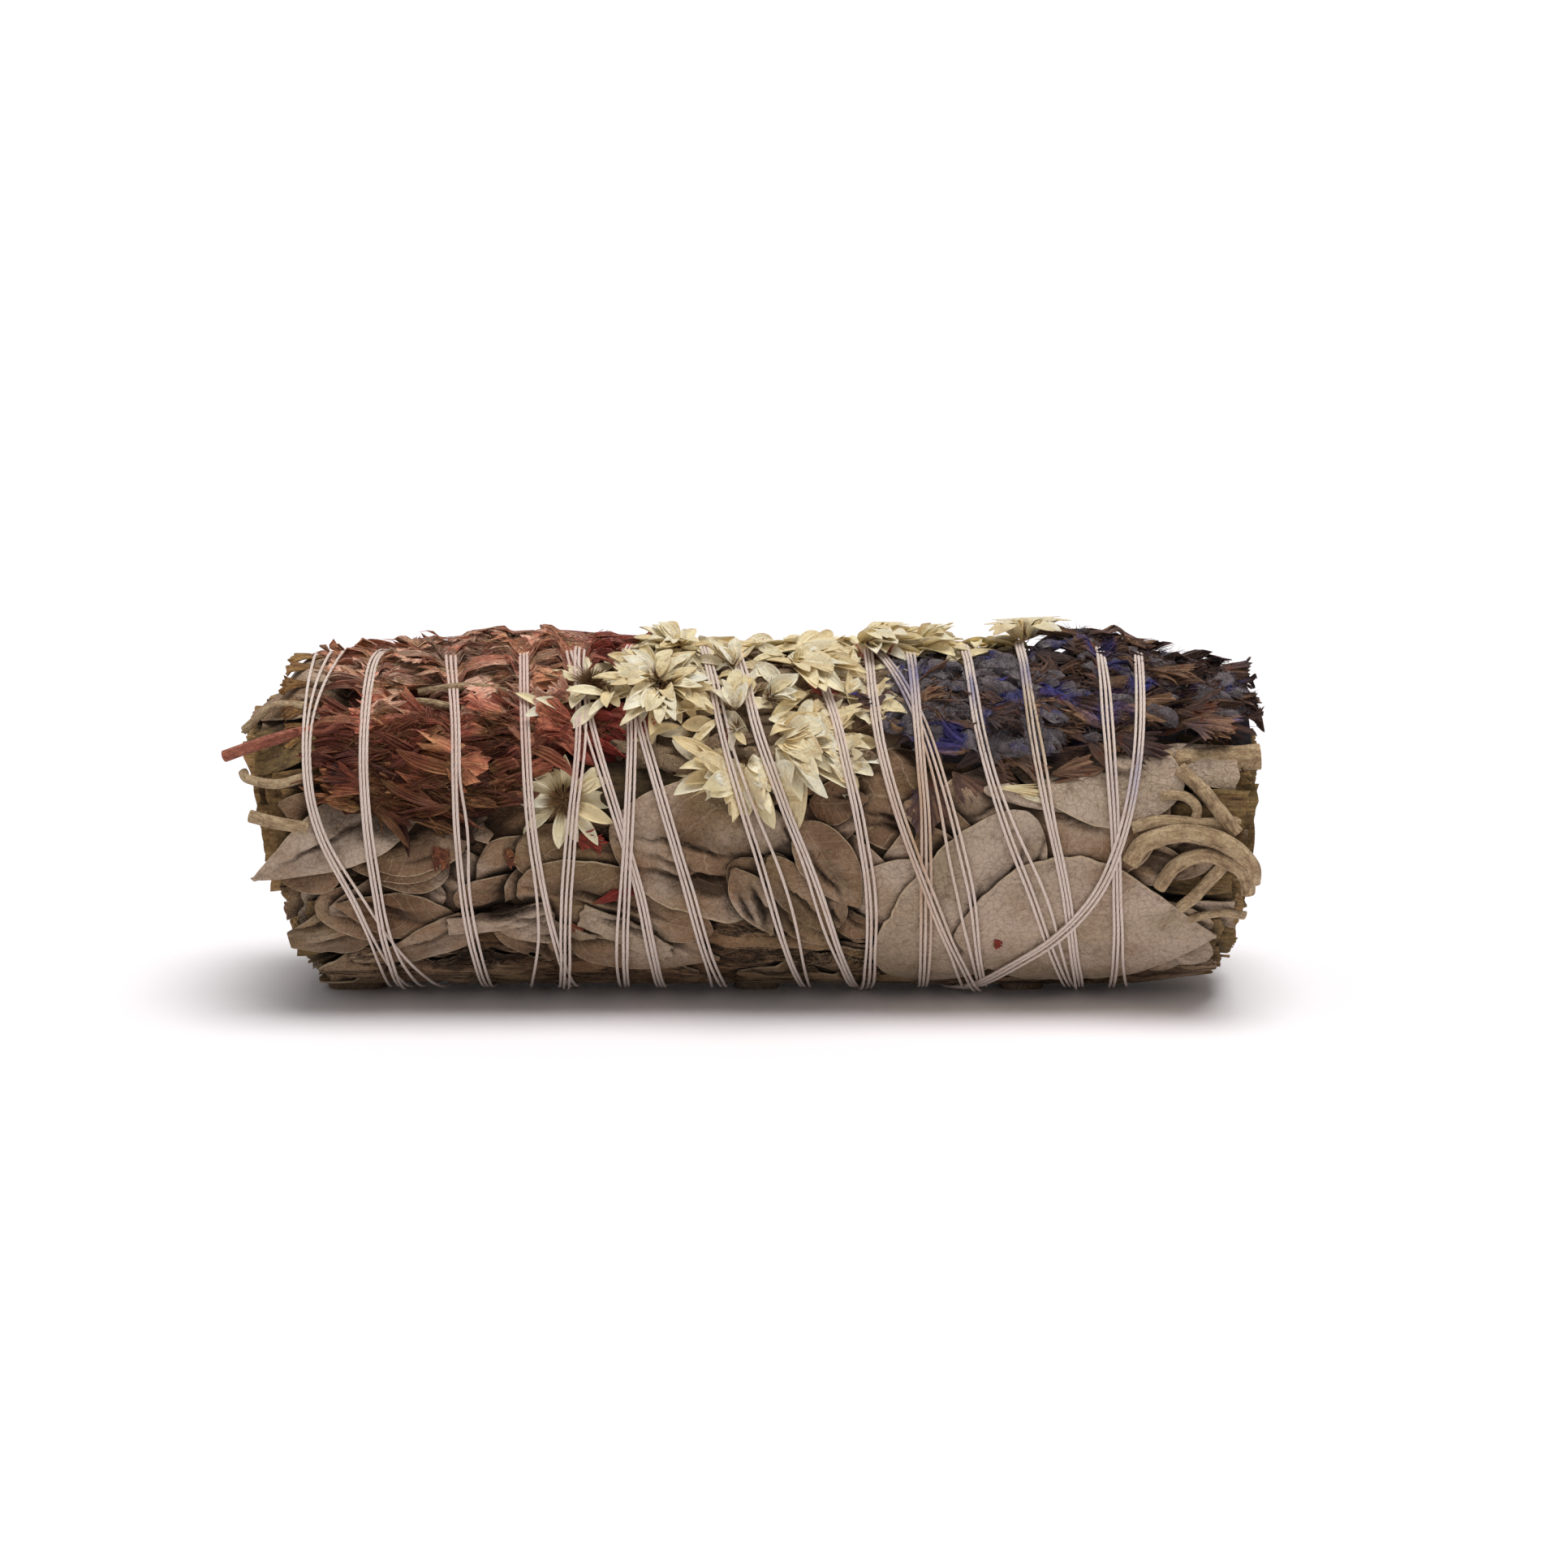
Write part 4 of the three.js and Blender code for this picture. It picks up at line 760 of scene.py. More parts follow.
# Flower heads: an open one lies flat like a star, a closed one points along its heading like a bud.
blooms = [
    {"node": "cream_bloom_star", "x": -18.1, "angle": 15.5, "bracts": 14, "open": 1, "scale": 1.15, "heading": 0, "star": 1},
    {"node": "cream_bloom_left", "x": -15.6, "angle": 60, "bracts": 10, "open": 0.95, "scale": 1.0, "heading": 200, "over": 1, "star": 1,
     "extra": [{"x": -13.6, "angle": 55, "bracts": 5, "open": 0.2, "heading": -125, "star": 0}, {"x": -18.6, "angle": 47, "bracts": 3, "open": 0.1, "scale": 0.8, "heading": 172, "star": 0}]},
    {"node": "cream_bloom_full", "x": -9.0, "angle": 62, "bracts": 30, "open": 0.7, "scale": 1.15, "heading": 120, "over": 1,
     "extra": [{"x": -8.6, "angle": 55, "bracts": 15, "open": 0.14, "scale": 1.1, "heading": -88}, {"x": -7.2, "angle": 57, "bracts": 12, "open": 0.1, "scale": 1.0, "heading": -30},
               {"x": -9.6, "angle": 60, "bracts": 12, "open": 0.12, "scale": 1.2, "heading": 175}]},
    {"node": "cream_bloom_crest", "x": -7.2, "angle": 84, "bracts": 34, "open": 0.6, "scale": 1.0, "heading": 200, "over": 1},
    {"node": "cream_bloom_upright", "x": -1.0, "angle": 48, "bracts": 16, "open": 0.04, "scale": 0.9, "heading": 88, "over": 1,
     "extra": [{"x": 2.6, "angle": 52, "bracts": 12, "open": 0.06, "scale": 0.8, "heading": 4}, {"x": -1.3, "angle": 68, "bracts": 12, "open": 0.12, "scale": 0.9, "heading": 120},
               {"x": -0.8, "angle": 40, "bracts": 2, "open": 0.05, "scale": 0.6, "heading": -80}]},
    {"node": "cream_bloom_low_left", "x": 0.2, "angle": 27, "bracts": 26, "open": 0.5, "scale": 1.05, "heading": -90,
     "extra": [{"x": -0.6, "angle": 26, "bracts": 14, "open": 0.12, "scale": 1.5, "heading": 192}, {"x": 0.6, "angle": 27, "bracts": 12, "open": 0.14, "scale": 1.3, "heading": -38}]},
    {"node": "cream_bloom_low_right", "x": 3.8, "angle": 37, "bracts": 36, "open": 0.24, "scale": 1.7, "heading": -16,
     "extra": [{"x": 5.2, "angle": 40, "bracts": 10, "open": 0.1, "scale": 1.1, "heading": 24}, {"x": 7.6, "angle": 35, "bracts": 12, "open": 0.12, "scale": 1.3, "heading": -30}]},
    {"node": "cream_bloom_speckled", "x": 5.2, "angle": 69, "bracts": 36, "open": 0.26, "scale": 1.42, "heading": 0, "over": 1},
    {"node": "cream_bloom_bud", "x": 10.6, "angle": 56, "bracts": 18, "open": 0.03, "scale": 0.95, "heading": 2,
     "extra": [{"x": 11.4, "angle": 43, "bracts": 9, "open": 0.1, "scale": 0.8, "heading": 40}]},
    {"node": "cream_bloom_top_middle", "x": 12.4, "angle": 92, "bracts": 40, "open": 0.3, "scale": 1.2, "heading": -4, "over": 1,
     "extra": [{"x": 17.4, "angle": 91, "bracts": 20, "open": 0.2, "scale": 1.1, "heading": 2, "over": 1}]},
    {"node": "cream_bloom_top_right", "x": 28.4, "angle": 92, "bracts": 26, "open": 0.75, "scale": 1.1, "heading": 100, "over": 1, "rise": 0.5},
]


# How deep the leaves lie under the string where flowers cover them.
def flowerSeat(x, angle):
    depth = np.zeros(np.broadcast(x, angle).shape)
    for spray in sprays.values():
        (left, right), low, high = spray["x"], spray["low"](x), spray["high"](x)
        inX = ramp(left - 2, left + 0.5, x) * ramp(right + 2, right - 0.5, x)
        inAngle = ramp(low - 7, low + 1, angle) * ramp(high + 7, high - 1, angle)
        depth = np.maximum(depth, (bedDepth - 0.6) * inX * inAngle)
    creamBand = ramp(-14, -11, x) * ramp(15, 12, x) * ramp(24, 32, angle) * ramp(112, 100, angle)
    depth = np.maximum(depth, 2.4 * creamBand)
    for head in blooms:
        away = np.hypot(x - head["x"], np.radians(angle - head["angle"]) * bundle["radius"])
        depth = np.maximum(depth, 1.5 * ramp(5.2, 2.5, away) * (1 - head.get("over", 0)))
    return depth


# Two maps over x and angle. The ceiling is the greatest radius still free: leaves are laid outermost
# first, each one fits under it and lowers it. The roof is the highest leaf so far, for the shade.
maps = {"x": -57.0, "xStep": 0.5, "xCount": 229, "angleStep": 1.5, "angleCount": 240}


def startMaps():
    x = maps["x"] + maps["xStep"] * np.arange(maps["xCount"])[:, None]
    angle = -240 + maps["angleStep"] * np.arange(maps["angleCount"])[None]
    folded = np.where(angle < -180, angle + 360, angle)
    free = bindRadius(x, angle) - 0.24 + 1.3 * np.clip(awayFromString(x, angle) - 0.3, 0, 1.4)
    seat = flowerSeat(x, folded)
    maps["ceiling"] = np.minimum(free, bindRadius(x, angle) - seat - 0.24 * (seat < 0.3))
    maps["roof"] = np.zeros_like(free)


# Bilinear reading of a map, wrapped round the bundle.
def readMap(name, x, angle):
    p = np.clip((x - maps["x"]) / maps["xStep"], 0, maps["xCount"] - 1.001)
    q = np.mod((angle + 240) / maps["angleStep"], maps["angleCount"])
    i, j = p.astype(int), q.astype(int)
    s, t = p - i, q - j
    j, k = j % maps["angleCount"], (j + 1) % maps["angleCount"]
    values = maps[name]
    return (values[i, j] * (1 - s) + values[i + 1, j] * s) * (1 - t) + (values[i, k] * (1 - s) + values[i + 1, k] * s) * t


def writeMaps(x, angle, r, thickness):
    i = np.clip(np.round((x - maps["x"]) / maps["xStep"]).astype(int), 0, maps["xCount"] - 1).ravel()
    j = np.round((angle + 240) / maps["angleStep"]).astype(int).ravel() % maps["angleCount"]
    np.minimum.at(maps["ceiling"], (i, j), (r - thickness).ravel())
    np.maximum.at(maps["roof"], (i, j), r.ravel())


# How much the leaves above shade a place: the share of 16 points round it, half and one and a
# quarter millimetres off, where the roof stands over it.
def shadedBy(x, angle, r):
    total = 0
    for k in range(16):
        turn, reach = k * np.pi / 4, 0.5 if k < 8 else 1.25
        roof = readMap("roof", x + reach * np.cos(turn), angle + np.degrees(reach * np.sin(turn) / bundle["radius"]))
        total = total + np.clip((roof - r - 0.08) / 0.5, 0, 1) / 16
    return total


# The least or the mean of each grid value and its neighbours within reach, edges repeated.
def spread(values, reach, least=False):
    for axis in (0, 1):
        padded = np.pad(values, [(reach, reach) if axis == k else (0, 0) for k in (0, 1)], mode="edge")
        size = values.shape[axis]
        shifted = [np.take(padded, np.arange(step, step + size), axis) for step in range(2 * reach + 1)]
        values = np.min(shifted, 0) if least else np.mean(shifted, 0)
    return values


# A grid made twice as fine by linear blending, both ways.
def finer(values):
    for axis in (0, 1):
        values = np.moveaxis(values, axis, 0)
        middle = (values[1:] + values[:-1]) / 2
        out = np.empty((len(values) + len(middle), *values.shape[1:]))
        out[0::2], out[1::2] = values, middle
        values = np.moveaxis(out, 0, axis)
    return values


# The large leaves, outermost first. x and angle place the base, heading turns the leaf from +X
# towards the top, bend sweeps its tip sideways. folds are lengthwise creases, curl lifts its edge,
# wrinkle is the height of its crumples, crown rounds it like a roll, rolled gives it the cracked
# finish, and also adds blades to it.
leaves = [
    {"node": "sage_leaf_front_right", "x": 21.0, "angle": -37, "heading": 1, "length": 26.5, "width": 19, "tone": 0.88, "folds": 0, "wrinkle": 0.16, "bend": -1.5, "blunt": 0.9,
     "also": [{"x": 16.6, "angle": -68, "heading": 67, "length": 26, "width": 14, "bend": -1.5, "blunt": 0.5, "tone": 0.9, "folds": 2}]},
    {"node": "sage_leaf_left_point", "x": -31.5, "angle": 30, "heading": 230, "length": 21, "width": 8.0, "bend": -5.5, "tone": 0.92, "folds": 1, "wrinkle": 0.12, "blunt": 0.85, "out": 8,
     "also": [{"x": -40, "angle": -9, "heading": 186, "length": 7, "width": 5, "bend": 0, "tone": 0.4, "out": 0}]},
    {"node": "sage_leaf_middle_small", "x": 5.6, "angle": 8, "heading": -58, "length": 11, "width": 6.0, "tone": 0.34, "folds": 1},
    {"node": "sage_leaf_middle_slim", "x": 2.4, "angle": -4, "heading": -57, "length": 11.5, "width": 4.4, "tone": 0.28, "folds": 1},
    {"node": "sage_leaf_right_upper", "x": 43.8, "angle": 20, "heading": 169, "length": 20, "width": 11.5, "bend": -2, "tone": 0.86, "folds": 1, "wrinkle": 0.15,
     "also": [{"x": 36.2, "angle": 13.5, "heading": 172, "length": 12.5, "width": 2.6, "crown": 0.5, "tone": 0.9, "blunt": 0.35, "bend": 0}]},
    {"node": "sage_leaf_centre_pale", "x": 19.5, "angle": -10, "heading": 216, "length": 13, "width": 9, "tone": 0.78, "folds": 0},
    {"node": "sage_leaf_middle_large", "x": -13.5, "angle": 6, "heading": -14, "length": 31, "width": 16, "tone": 0.55, "folds": 4, "wrinkle": 0.36},
    {"node": "sage_leaf_right_veined", "x": 42.5, "angle": 16, "heading": 192, "length": 30, "width": 17, "bend": 1, "tone": 0.52, "folds": 1, "wrinkle": 0.2},
    {"node": "sage_leaf_brown", "x": 26, "angle": 14, "heading": 176, "length": 20, "width": 12, "tone": 0.2, "folds": 4, "wrinkle": 0.4},
    {"node": "sage_leaf_left_low", "x": -24, "angle": -12, "heading": 188, "length": 19, "width": 9, "tone": 0.42, "folds": 2, "blunt": 1.1},
    {"node": "sage_leaf_left_wrinkled", "x": -30.5, "angle": -3, "heading": -4, "length": 25, "width": 12, "tone": 0.36, "folds": 4, "wrinkle": 0.45, "rolled": 1},
    {"node": "sage_leaf_left_crest", "x": -50, "angle": 66, "heading": 4, "length": 17, "width": 13, "tone": 0.4, "folds": 3, "wrinkle": 0.45},
    {"node": "sage_leaf_low_middle", "x": -20, "angle": -42, "heading": 2, "length": 44, "width": 10.5, "bend": 1.0, "tone": 0.55, "folds": 4, "crown": 0.8, "wrinkle": 0.42, "rolled": 1, "blunt": 0.5,
     "also": [{"x": -13, "angle": -63, "heading": 3, "length": 38, "width": 8, "tone": 0.5}, {"x": -14, "angle": -25, "heading": -4, "length": 22, "width": 5, "tone": 0.4}]},
    {"node": "sage_leaf_low_left", "x": -43.4, "angle": -60, "heading": 2, "length": 36, "width": 9, "tone": 0.46, "folds": 2, "crown": 1.0, "rolled": 1,
     "also": [{"x": -42, "angle": -47, "heading": 5, "length": 31, "width": 5.6, "tone": 0.44}, {"x": -36, "angle": -37, "heading": -4, "length": 25, "width": 4.2, "tone": 0.34}]},
    {"node": "sage_leaf_low_right", "x": 48, "angle": -64, "heading": 184, "length": 36, "width": 15, "tone": 0.5, "folds": 3, "rolled": 1},
    {"node": "sage_leaf_under_left", "x": -1, "angle": -86, "heading": 180, "length": 43, "width": 19, "tone": 0.45, "folds": 4, "cell": 0.55},
    {"node": "sage_leaf_under_right", "x": -6, "angle": -90, "heading": 2, "length": 47, "width": 19, "tone": 0.45, "folds": 4, "cell": 0.55},
    {"node": "sage_leaf_back_low_left", "x": -46, "angle": -136, "heading": 4, "length": 46, "width": 20, "tone": 0.6, "folds": 3, "cell": 0.55},
    {"node": "sage_leaf_back_low_right", "x": 49.4, "angle": -132, "heading": 183, "length": 50, "width": 20, "tone": 0.7, "folds": 3, "cell": 0.55},
    {"node": "sage_leaf_back_high_right", "x": 3, "angle": -186, "heading": -3, "length": 46, "width": 20, "tone": 0.5, "folds": 4, "cell": 0.55},
    {"node": "sage_leaf_back_high_left", "x": 8, "angle": -184, "heading": 176, "length": 50, "width": 20, "tone": 0.7, "folds": 3, "cell": 0.55},
    {"node": "sage_leaf_back_top_left", "x": -48, "angle": -226, "heading": -2, "length": 42, "width": 15, "tone": 0.42, "folds": 3, "cell": 0.55},
    {"node": "sage_leaf_back_top_right", "x": -12, "angle": -226, "heading": 1, "length": 46, "width": 15, "tone": 0.6, "folds": 3, "cell": 0.55},
]
leafSheet = {"thickness": 0.24, "gap": 0.12, "cell": 0.36, "puff": 0.6, "sag": 1.3, "curl": 0.8, "wrinkle": 0.36}


# One leaf as a closed sheet on a u (base to tip) by v (side to side) grid. Half its width is
# width/2 sin(pi u^0.8)^blunt with a wavy edge, or it is cut or torn across with a ragged edge. Its
# radius is the string's surface plus a swell between the turns, a crown, crumples, folds that stand
# a step higher on one side of a groove, and a curled edge, under the ceiling. Painted shade darkens
# the grooves, the crumples' hollows, the places that lie deep and those beside higher leaves.
def layLeaf(leaf, seed):
    draw = np.random.default_rng(seed)
    length, width = leaf["length"], leaf["width"]
    cell = leaf.get("cell", leafSheet["cell"])
    rows, columns = int(length / cell) + 4, int(width / cell) + 4
    u, v = np.linspace(0, 1, rows)[:, None], np.linspace(-1, 1, columns)[None]
    rim = np.sign(v) * 5 + 0.5
    wave = 1 + 0.09 * lattice(u * length / 3.6, rim, seed) + 0.03 * lattice(u * length / 0.9, rim, seed + 1)
    outline = np.sin(np.pi * u**0.8) ** leaf.get("blunt", 0.75)
    if leaf.get("cut"):
        outline = np.cos(np.pi / 2 * u**1.6) ** 0.6
    if leaf.get("torn"):
        outline = 0.72 + 0.28 * lattice(u * 2.4, rim, seed + 11) - 0.5 * draw.uniform(-0.2, 1) * u
    half = np.maximum(0.25, width / 2 * outline) * wave
    side = half * v + leaf.get("bend", 0) * u * u
    ragged = 0.4 * lattice(v * width / 2.6, 0.5 + 3 * np.round(u), seed + 6) + 0.12 * lattice(v * width / 0.9, 0.5, seed + 7)
    forward = u * length + leaf.get("cut", 0) * (1 - ramp(0, 0.25, u)) * ragged + leaf.get("torn", 0) * np.abs(2 * u - 1) ** 3 * (1.5 * ragged + draw.uniform(-0.6, 0.6) * half * v)
    heading = math.radians(leaf["heading"])
    x = leaf["x"] + math.cos(heading) * forward - math.sin(heading) * side
    angle = leaf["angle"] + np.degrees((math.sin(heading) * forward + math.cos(heading) * side) / bundle["radius"])
    x = np.clip(x, endX(-1, angle, 15) - leaf.get("out", 0.7), endX(1, angle, 15) + leaf.get("out", 0.7))
    s, t = u * length + 0 * v, half * v
    free = 1 - np.exp(-((np.maximum(0, awayFromString(x, angle) - 0.3) / 1.3) ** 2))
    under = swell(-90, 48, np.where(angle > 90, angle - 360, angle))
    puff = (leafSheet["puff"] * (1 + 0.7 * lattice(x / 9, angle / 30, seed + 2)) + leafSheet["sag"] * under) * free
    height = leaf.get("wrinkle", leafSheet["wrinkle"])
    wrinkle = height * (crumple(s / 5, t / 2.6, seed + 3) + 0.9 * (creased(s / 7, t / 3.0, seed + 8) - 0.5)) * (0.35 + 0.65 * free)
    crease = np.zeros_like(s)
    for k in range(leaf["folds"]):
        middle = width * draw.uniform(-0.32, 0.32) + draw.uniform(-0.14, 0.14) * (s - length / 2) + 0.9 * lattice(s / 4, k + 0.5, seed + 4) + 0.3 * lattice(s / 1.1, k + 0.5, seed + 9)
        where = swell(length * draw.uniform(0.3, 0.7), length * draw.uniform(0.3, 0.6), s)
        off = (t - middle) * draw.choice([-1, 1])
        crease += where * (0.5 * np.exp(-((off - 0.6) / 0.5) ** 2) - 0.95 * np.exp(-((off / 0.27) ** 2)) - 0.4 * np.exp(-((off + 1.1) / 1.0) ** 2))
    rib = -0.14 * np.exp(-((t / 0.4) ** 2)) * ramp(0, 0.1, u) * (1 - u)
    crown = leaf.get("crown", 0) * (0.5 - 1.5 * np.abs(v) ** 2.6)
    lifted = 0.4 + 0.8 * lattice(u * length / 4, rim + 4, seed + 5)
    curl = leaf.get("curl", 1.0) * leafSheet["curl"] * np.abs(v) ** 5 * lifted * (0.1 + 0.9 * free) * (leaf.get("crown", 0) == 0)
    tip = 0.5 * leaf.get("curl", 1.0) * ramp(0.85, 1, u) * free
    r = bindRadius(x, angle) - 0.24 + puff + wrinkle + crease + rib + crown + curl + tip
    limit = readMap("ceiling", x, angle)
    easy = spread(spread(limit, 2, least=True), 2)
    r = np.minimum(r, np.minimum(limit, easy + 0.12)) - 0.02
    shaded = shadedBy(x, angle, r)
    thickness = leafSheet["thickness"] * (0.75 + 0.25 * (1 - v**4))
    writeMaps(finer(x), finer(angle), finer(r), thickness.max() + leafSheet["gap"])
    sunk = ramp(0.8, 2.8, bindRadius(x, angle) - r)
    # painted shade: grooves, hollows, depth under the string's surface and leaves standing over it
    shade = np.clip(-crease * 1.1 + 0.55 * sunk + 2.1 * shaded - 0.4 * wrinkle, 0, 0.96)
    # less painted shade near the cut ends
    if leaf.get("cut"):
        shade = shade * (0.35 + 0.65 * ramp(0.2, 2.5, s))  # the cut ends catch the light
    uv = np.stack(np.broadcast_arrays(u, (v + 1) / 2), -1)
    growth = np.stack(np.broadcast_arrays(leaf["tone"], u, (v + 1) / 2, shade), -1)
    part = sheetPart(place(x, angle, r)[None], place(x, angle, r - thickness)[None], uv, growth)
    return dict(part, material=leaf.get("rolled", 0))


# Torn and folded bits of leaf that fill between the large ones: random leaves within boxes of
# x, angle, size and heading, laid after the large leaf that should lie over them.
scrapBoxes = [
    {"after": 0, "count": 4, "x": (-30, -8), "angle": (-34, 2), "length": (7, 11), "width": (3, 5), "heading": (-35, 20), "tone": (0.5, 0.85)},
    {"after": 1, "count": 12, "x": (-38, -24), "angle": (-36, 10), "length": (9, 14), "width": (5, 8.5), "heading": (160, 215), "tone": (0.2, 0.64)},
    {"after": 4, "count": 6, "x": (-1, 9), "angle": (-40, 16), "length": (4, 8), "width": (3, 5), "heading": (-90, 10), "tone": (0.1, 0.6)},
    {"after": 5, "count": 10, "x": (-2, 18), "angle": (-40, 20), "length": (6, 11), "width": (3.5, 6), "heading": (-90, 40), "tone": (0.2, 0.75)},
    {"after": 8, "count": 11, "x": (-34, -14), "angle": (-40, 2), "length": (14, 21), "width": (6, 10), "heading": (-26, 22), "tone": (0.16, 0.6)},
    {"after": 10, "count": 24, "x": (-45, 0), "angle": (-68, -20), "length": (11, 22), "width": (3.4, 6.4), "heading": (-12, 12), "tone": (0.24, 0.7), "crown": (0.3, 0.9), "rolled": 1},
    {"after": 12, "count": 12, "x": (26, 42), "angle": (-62, 22), "length": (6, 10), "width": (4, 7), "heading": (-40, 50), "tone": (0.25, 0.8)},
    {"after": 16, "count": 24, "x": (-46, 36), "angle": (-112, -60), "length": (9, 16), "width": (3, 6), "heading": (-12, 12), "tone": (0.25, 0.65), "crown": (0.2, 0.8), "rolled": 1},
    {"after": 18, "count": 34, "x": (-44, 36), "angle": (-215, -115), "length": (7, 15), "width": (3, 7), "heading": (-30, 30), "tone": (0.2, 0.85)},
    {"after": 22, "count": 20, "x": (-46, 36), "angle": (-262, -205), "length": (7, 14), "width": (3, 6), "heading": (-18, 18), "tone": (0.2, 0.7)},
]

# Leaves cut across at the ends: they run in from the cut face, in layers all round.
cutBoxes = {"layers": 5, "each": 17, "length": (6, 14), "width": (2.4, 7.5), "out": (-1.4, 0.5)}


def camel(name):
    first, *rest = name.split("_")
    return first + "".join(word.capitalize() for word in rest)


startMaps()
scraps = {"sageScrapsFront": [], "sageScrapsUnder": [], "sageScrapsBack": []}
leafFinishes = [materials["leaf"], materials["rolled"], materials["cut"]]
for order, leaf in enumerate(leaves):
    blades_ = [leaf] + [{**leaf, **more} for more in leaf.get("also", [])]
    makePiece(camel(leaf["node"]), [layLeaf(blade, 100 + 7 * order + 3 * k) for k, blade in enumerate(blades_)], leafFinishes, [leaf["node"]])
    for box in scrapBoxes:
        if box["after"] != order:
            continue
        draw = np.random.default_rng(900 + order)
        for k in range(box["count"]):
            bit = {key: draw.uniform(*box[key]) for key in ("x", "angle", "length", "width", "heading", "tone")}
            bit.update(bend=draw.uniform(-1.2, 1.2), folds=int(draw.integers(1, 4)), curl=1.5, crown=draw.uniform(*box.get("crown", (0, 0))), blunt=draw.uniform(0.35, 1.0), wrinkle=0.46)
            bit.update(torn=int(draw.uniform() < 0.25 and "crown" not in box), rolled=box.get("rolled", 0), cell=0.4 if order < 12 else 0.55)
            scraps["sageScraps" + ("Front" if order < 10 else "Under" if order < 18 else "Back")].append(layLeaf(bit, 1000 + 37 * order + k))
for name, parts in scraps.items():
    makePiece(name, parts, leafFinishes)
for side, name in ((-1, "sageCutLeavesLeft"), (1, "sageCutLeavesRight")):
    draw = np.random.default_rng(950 + side)
    cut = []
    for k in range(cutBoxes["layers"] * cutBoxes["each"]):
        angle = 360 * k / cutBoxes["each"] + draw.uniform(-12, 12) + 9 * (k // cutBoxes["each"])
        bit = {key: draw.uniform(*cutBoxes[key]) for key in ("length", "width")}
        bit["x"] = float(endX(side, angle, 15)) + side * draw.uniform(*cutBoxes["out"])
        bit.update(angle=angle, heading=(0 if side < 0 else 180) + draw.uniform(-9, 9), tone=draw.uniform(0.1, 0.85), folds=int(draw.integers(0, 3)))
        bit.update(curl=1.6, cut=1, crown=float(draw.choice([0, 0.5, 0.9])), bend=draw.uniform(-1, 1), out=1.6, rolled=int(draw.choice([0, 2, 2, 2, 1])), wrinkle=0.4, cell=0.6)
        cut.append(layLeaf(bit, 2000 + 100 * (side + 1) + k))
    makePiece(name, cut, leafFinishes)
print("laid the leaves")


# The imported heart: rings from end to end just under the leaves, its cut faces crumpled and closed
# by rings that shrink to the middle.
def packedHeart():
    around, lengths, inward = 120, 110, 12
    angle = np.linspace(0, 360, around, endpoint=False)[None]
    left, right = endX(-1, angle, 13) + 0.6, endX(1, angle, 13) - 0.6
    t = np.linspace(0, 1, lengths)[:, None]
    x = left + (right - left) * t
    r = readMap("ceiling", x, angle) - 0.15
    r = np.minimum(spread(r, 2), r) + 0.1 * crumple(x / 2.5, angle / 9, 41)
    shrink = np.linspace(1, 0.06, inward)[:, None]
    faces = []
    for row, side in ((0, -1), (-1, 1)):
        ringR = r[row][None] * shrink
        push = 0.9 * crumple(ringR * np.cos(np.radians(angle)) / 2.2, ringR * np.sin(np.radians(angle)) / 2.2 + 9 * side, 43 + side)
        faces.append((x[row][None] + side * (push * (1 - shrink**8)), angle + 0 * shrink, ringR))
    xs = np.concatenate([faces[0][0][::-1], x, faces[1][0]])
    angles = np.concatenate([faces[0][1][::-1], angle + 0 * x, faces[1][1]])
    rs = np.concatenate([faces[0][2][::-1], r, faces[1][2]])
    # fourth value 0.45: painted shade over the packed heart
    growth = np.stack([0.35 + 0.3 * lattice(xs / 3, angles / 12, 44), 0 * xs, 0 * xs, 0.45 + 0 * xs], -1)
    return tubePart(place(xs, angles, rs)[None], growth[None])


# Rolled leaf edges at an end: arcs of thin leaf, each a closed sheet from inside the bundle out to
# a ragged rim; their radius wanders along the arc.
rolls = {"count": 132, "inside": 6.0, "thickness": (0.14, 0.3), "out": (-0.5, 1.5), "spirals": 13}


def rolledEdges(side):
    parts = []
    draw = np.random.default_rng(61 + side)
    for n in range(rolls["count"]):
        base = 1.4 + 14.2 * draw.uniform() ** 0.55
        start = n * 137.5 + draw.uniform(-20, 20)
        sweep = draw.uniform(40, 110) * min(2.2, 8 / base)
        columns = max(10, int(math.radians(sweep) * base / 0.62))
        s, t = np.linspace(0, 1, columns)[None], np.array([0, 0.5, 0.8, 0.93, 1])[:, None]
        angle = start + sweep * s + 0 * t
        r = base + 0.9 * lattice(s * 4, n * 1.7, 62) + draw.uniform(-0.8, 0.8) * s + 0.3 * lattice(s * 9, n * 2.7, 63) * t
        out = draw.uniform(*rolls["out"]) + 0.5 * lattice(s * 3, n * 3.3, 64) + 0.35 * lattice(s * 14, n * 3.3, 65)
        face = endX(side, angle, np.minimum(r, 16))
        x = face - side * rolls["inside"] + side * (rolls["inside"] + out) * t
        r = np.minimum(r, bindRadius(x, angle) - 0.3)
        r = np.maximum(0.8, np.minimum(r, readMap("ceiling", face - side * 2, angle) - 0.1) + 0.5 * ramp(0.7, 1, t) * lattice(s * 2, n, 66))
        # painted shade, deeper towards the inside of the bundle
        growth = np.stack(np.broadcast_arrays(draw.uniform(0.1, 0.9), t, s, 0.85 * ramp(0.8, 0.3, t)), -1)
        uv = np.stack(np.broadcast_arrays(t, s), -1)
        parts.append(sheetPart(place(x, angle, r)[None], place(x, angle, r - draw.uniform(*rolls["thickness"]))[None], uv, growth))
    return parts


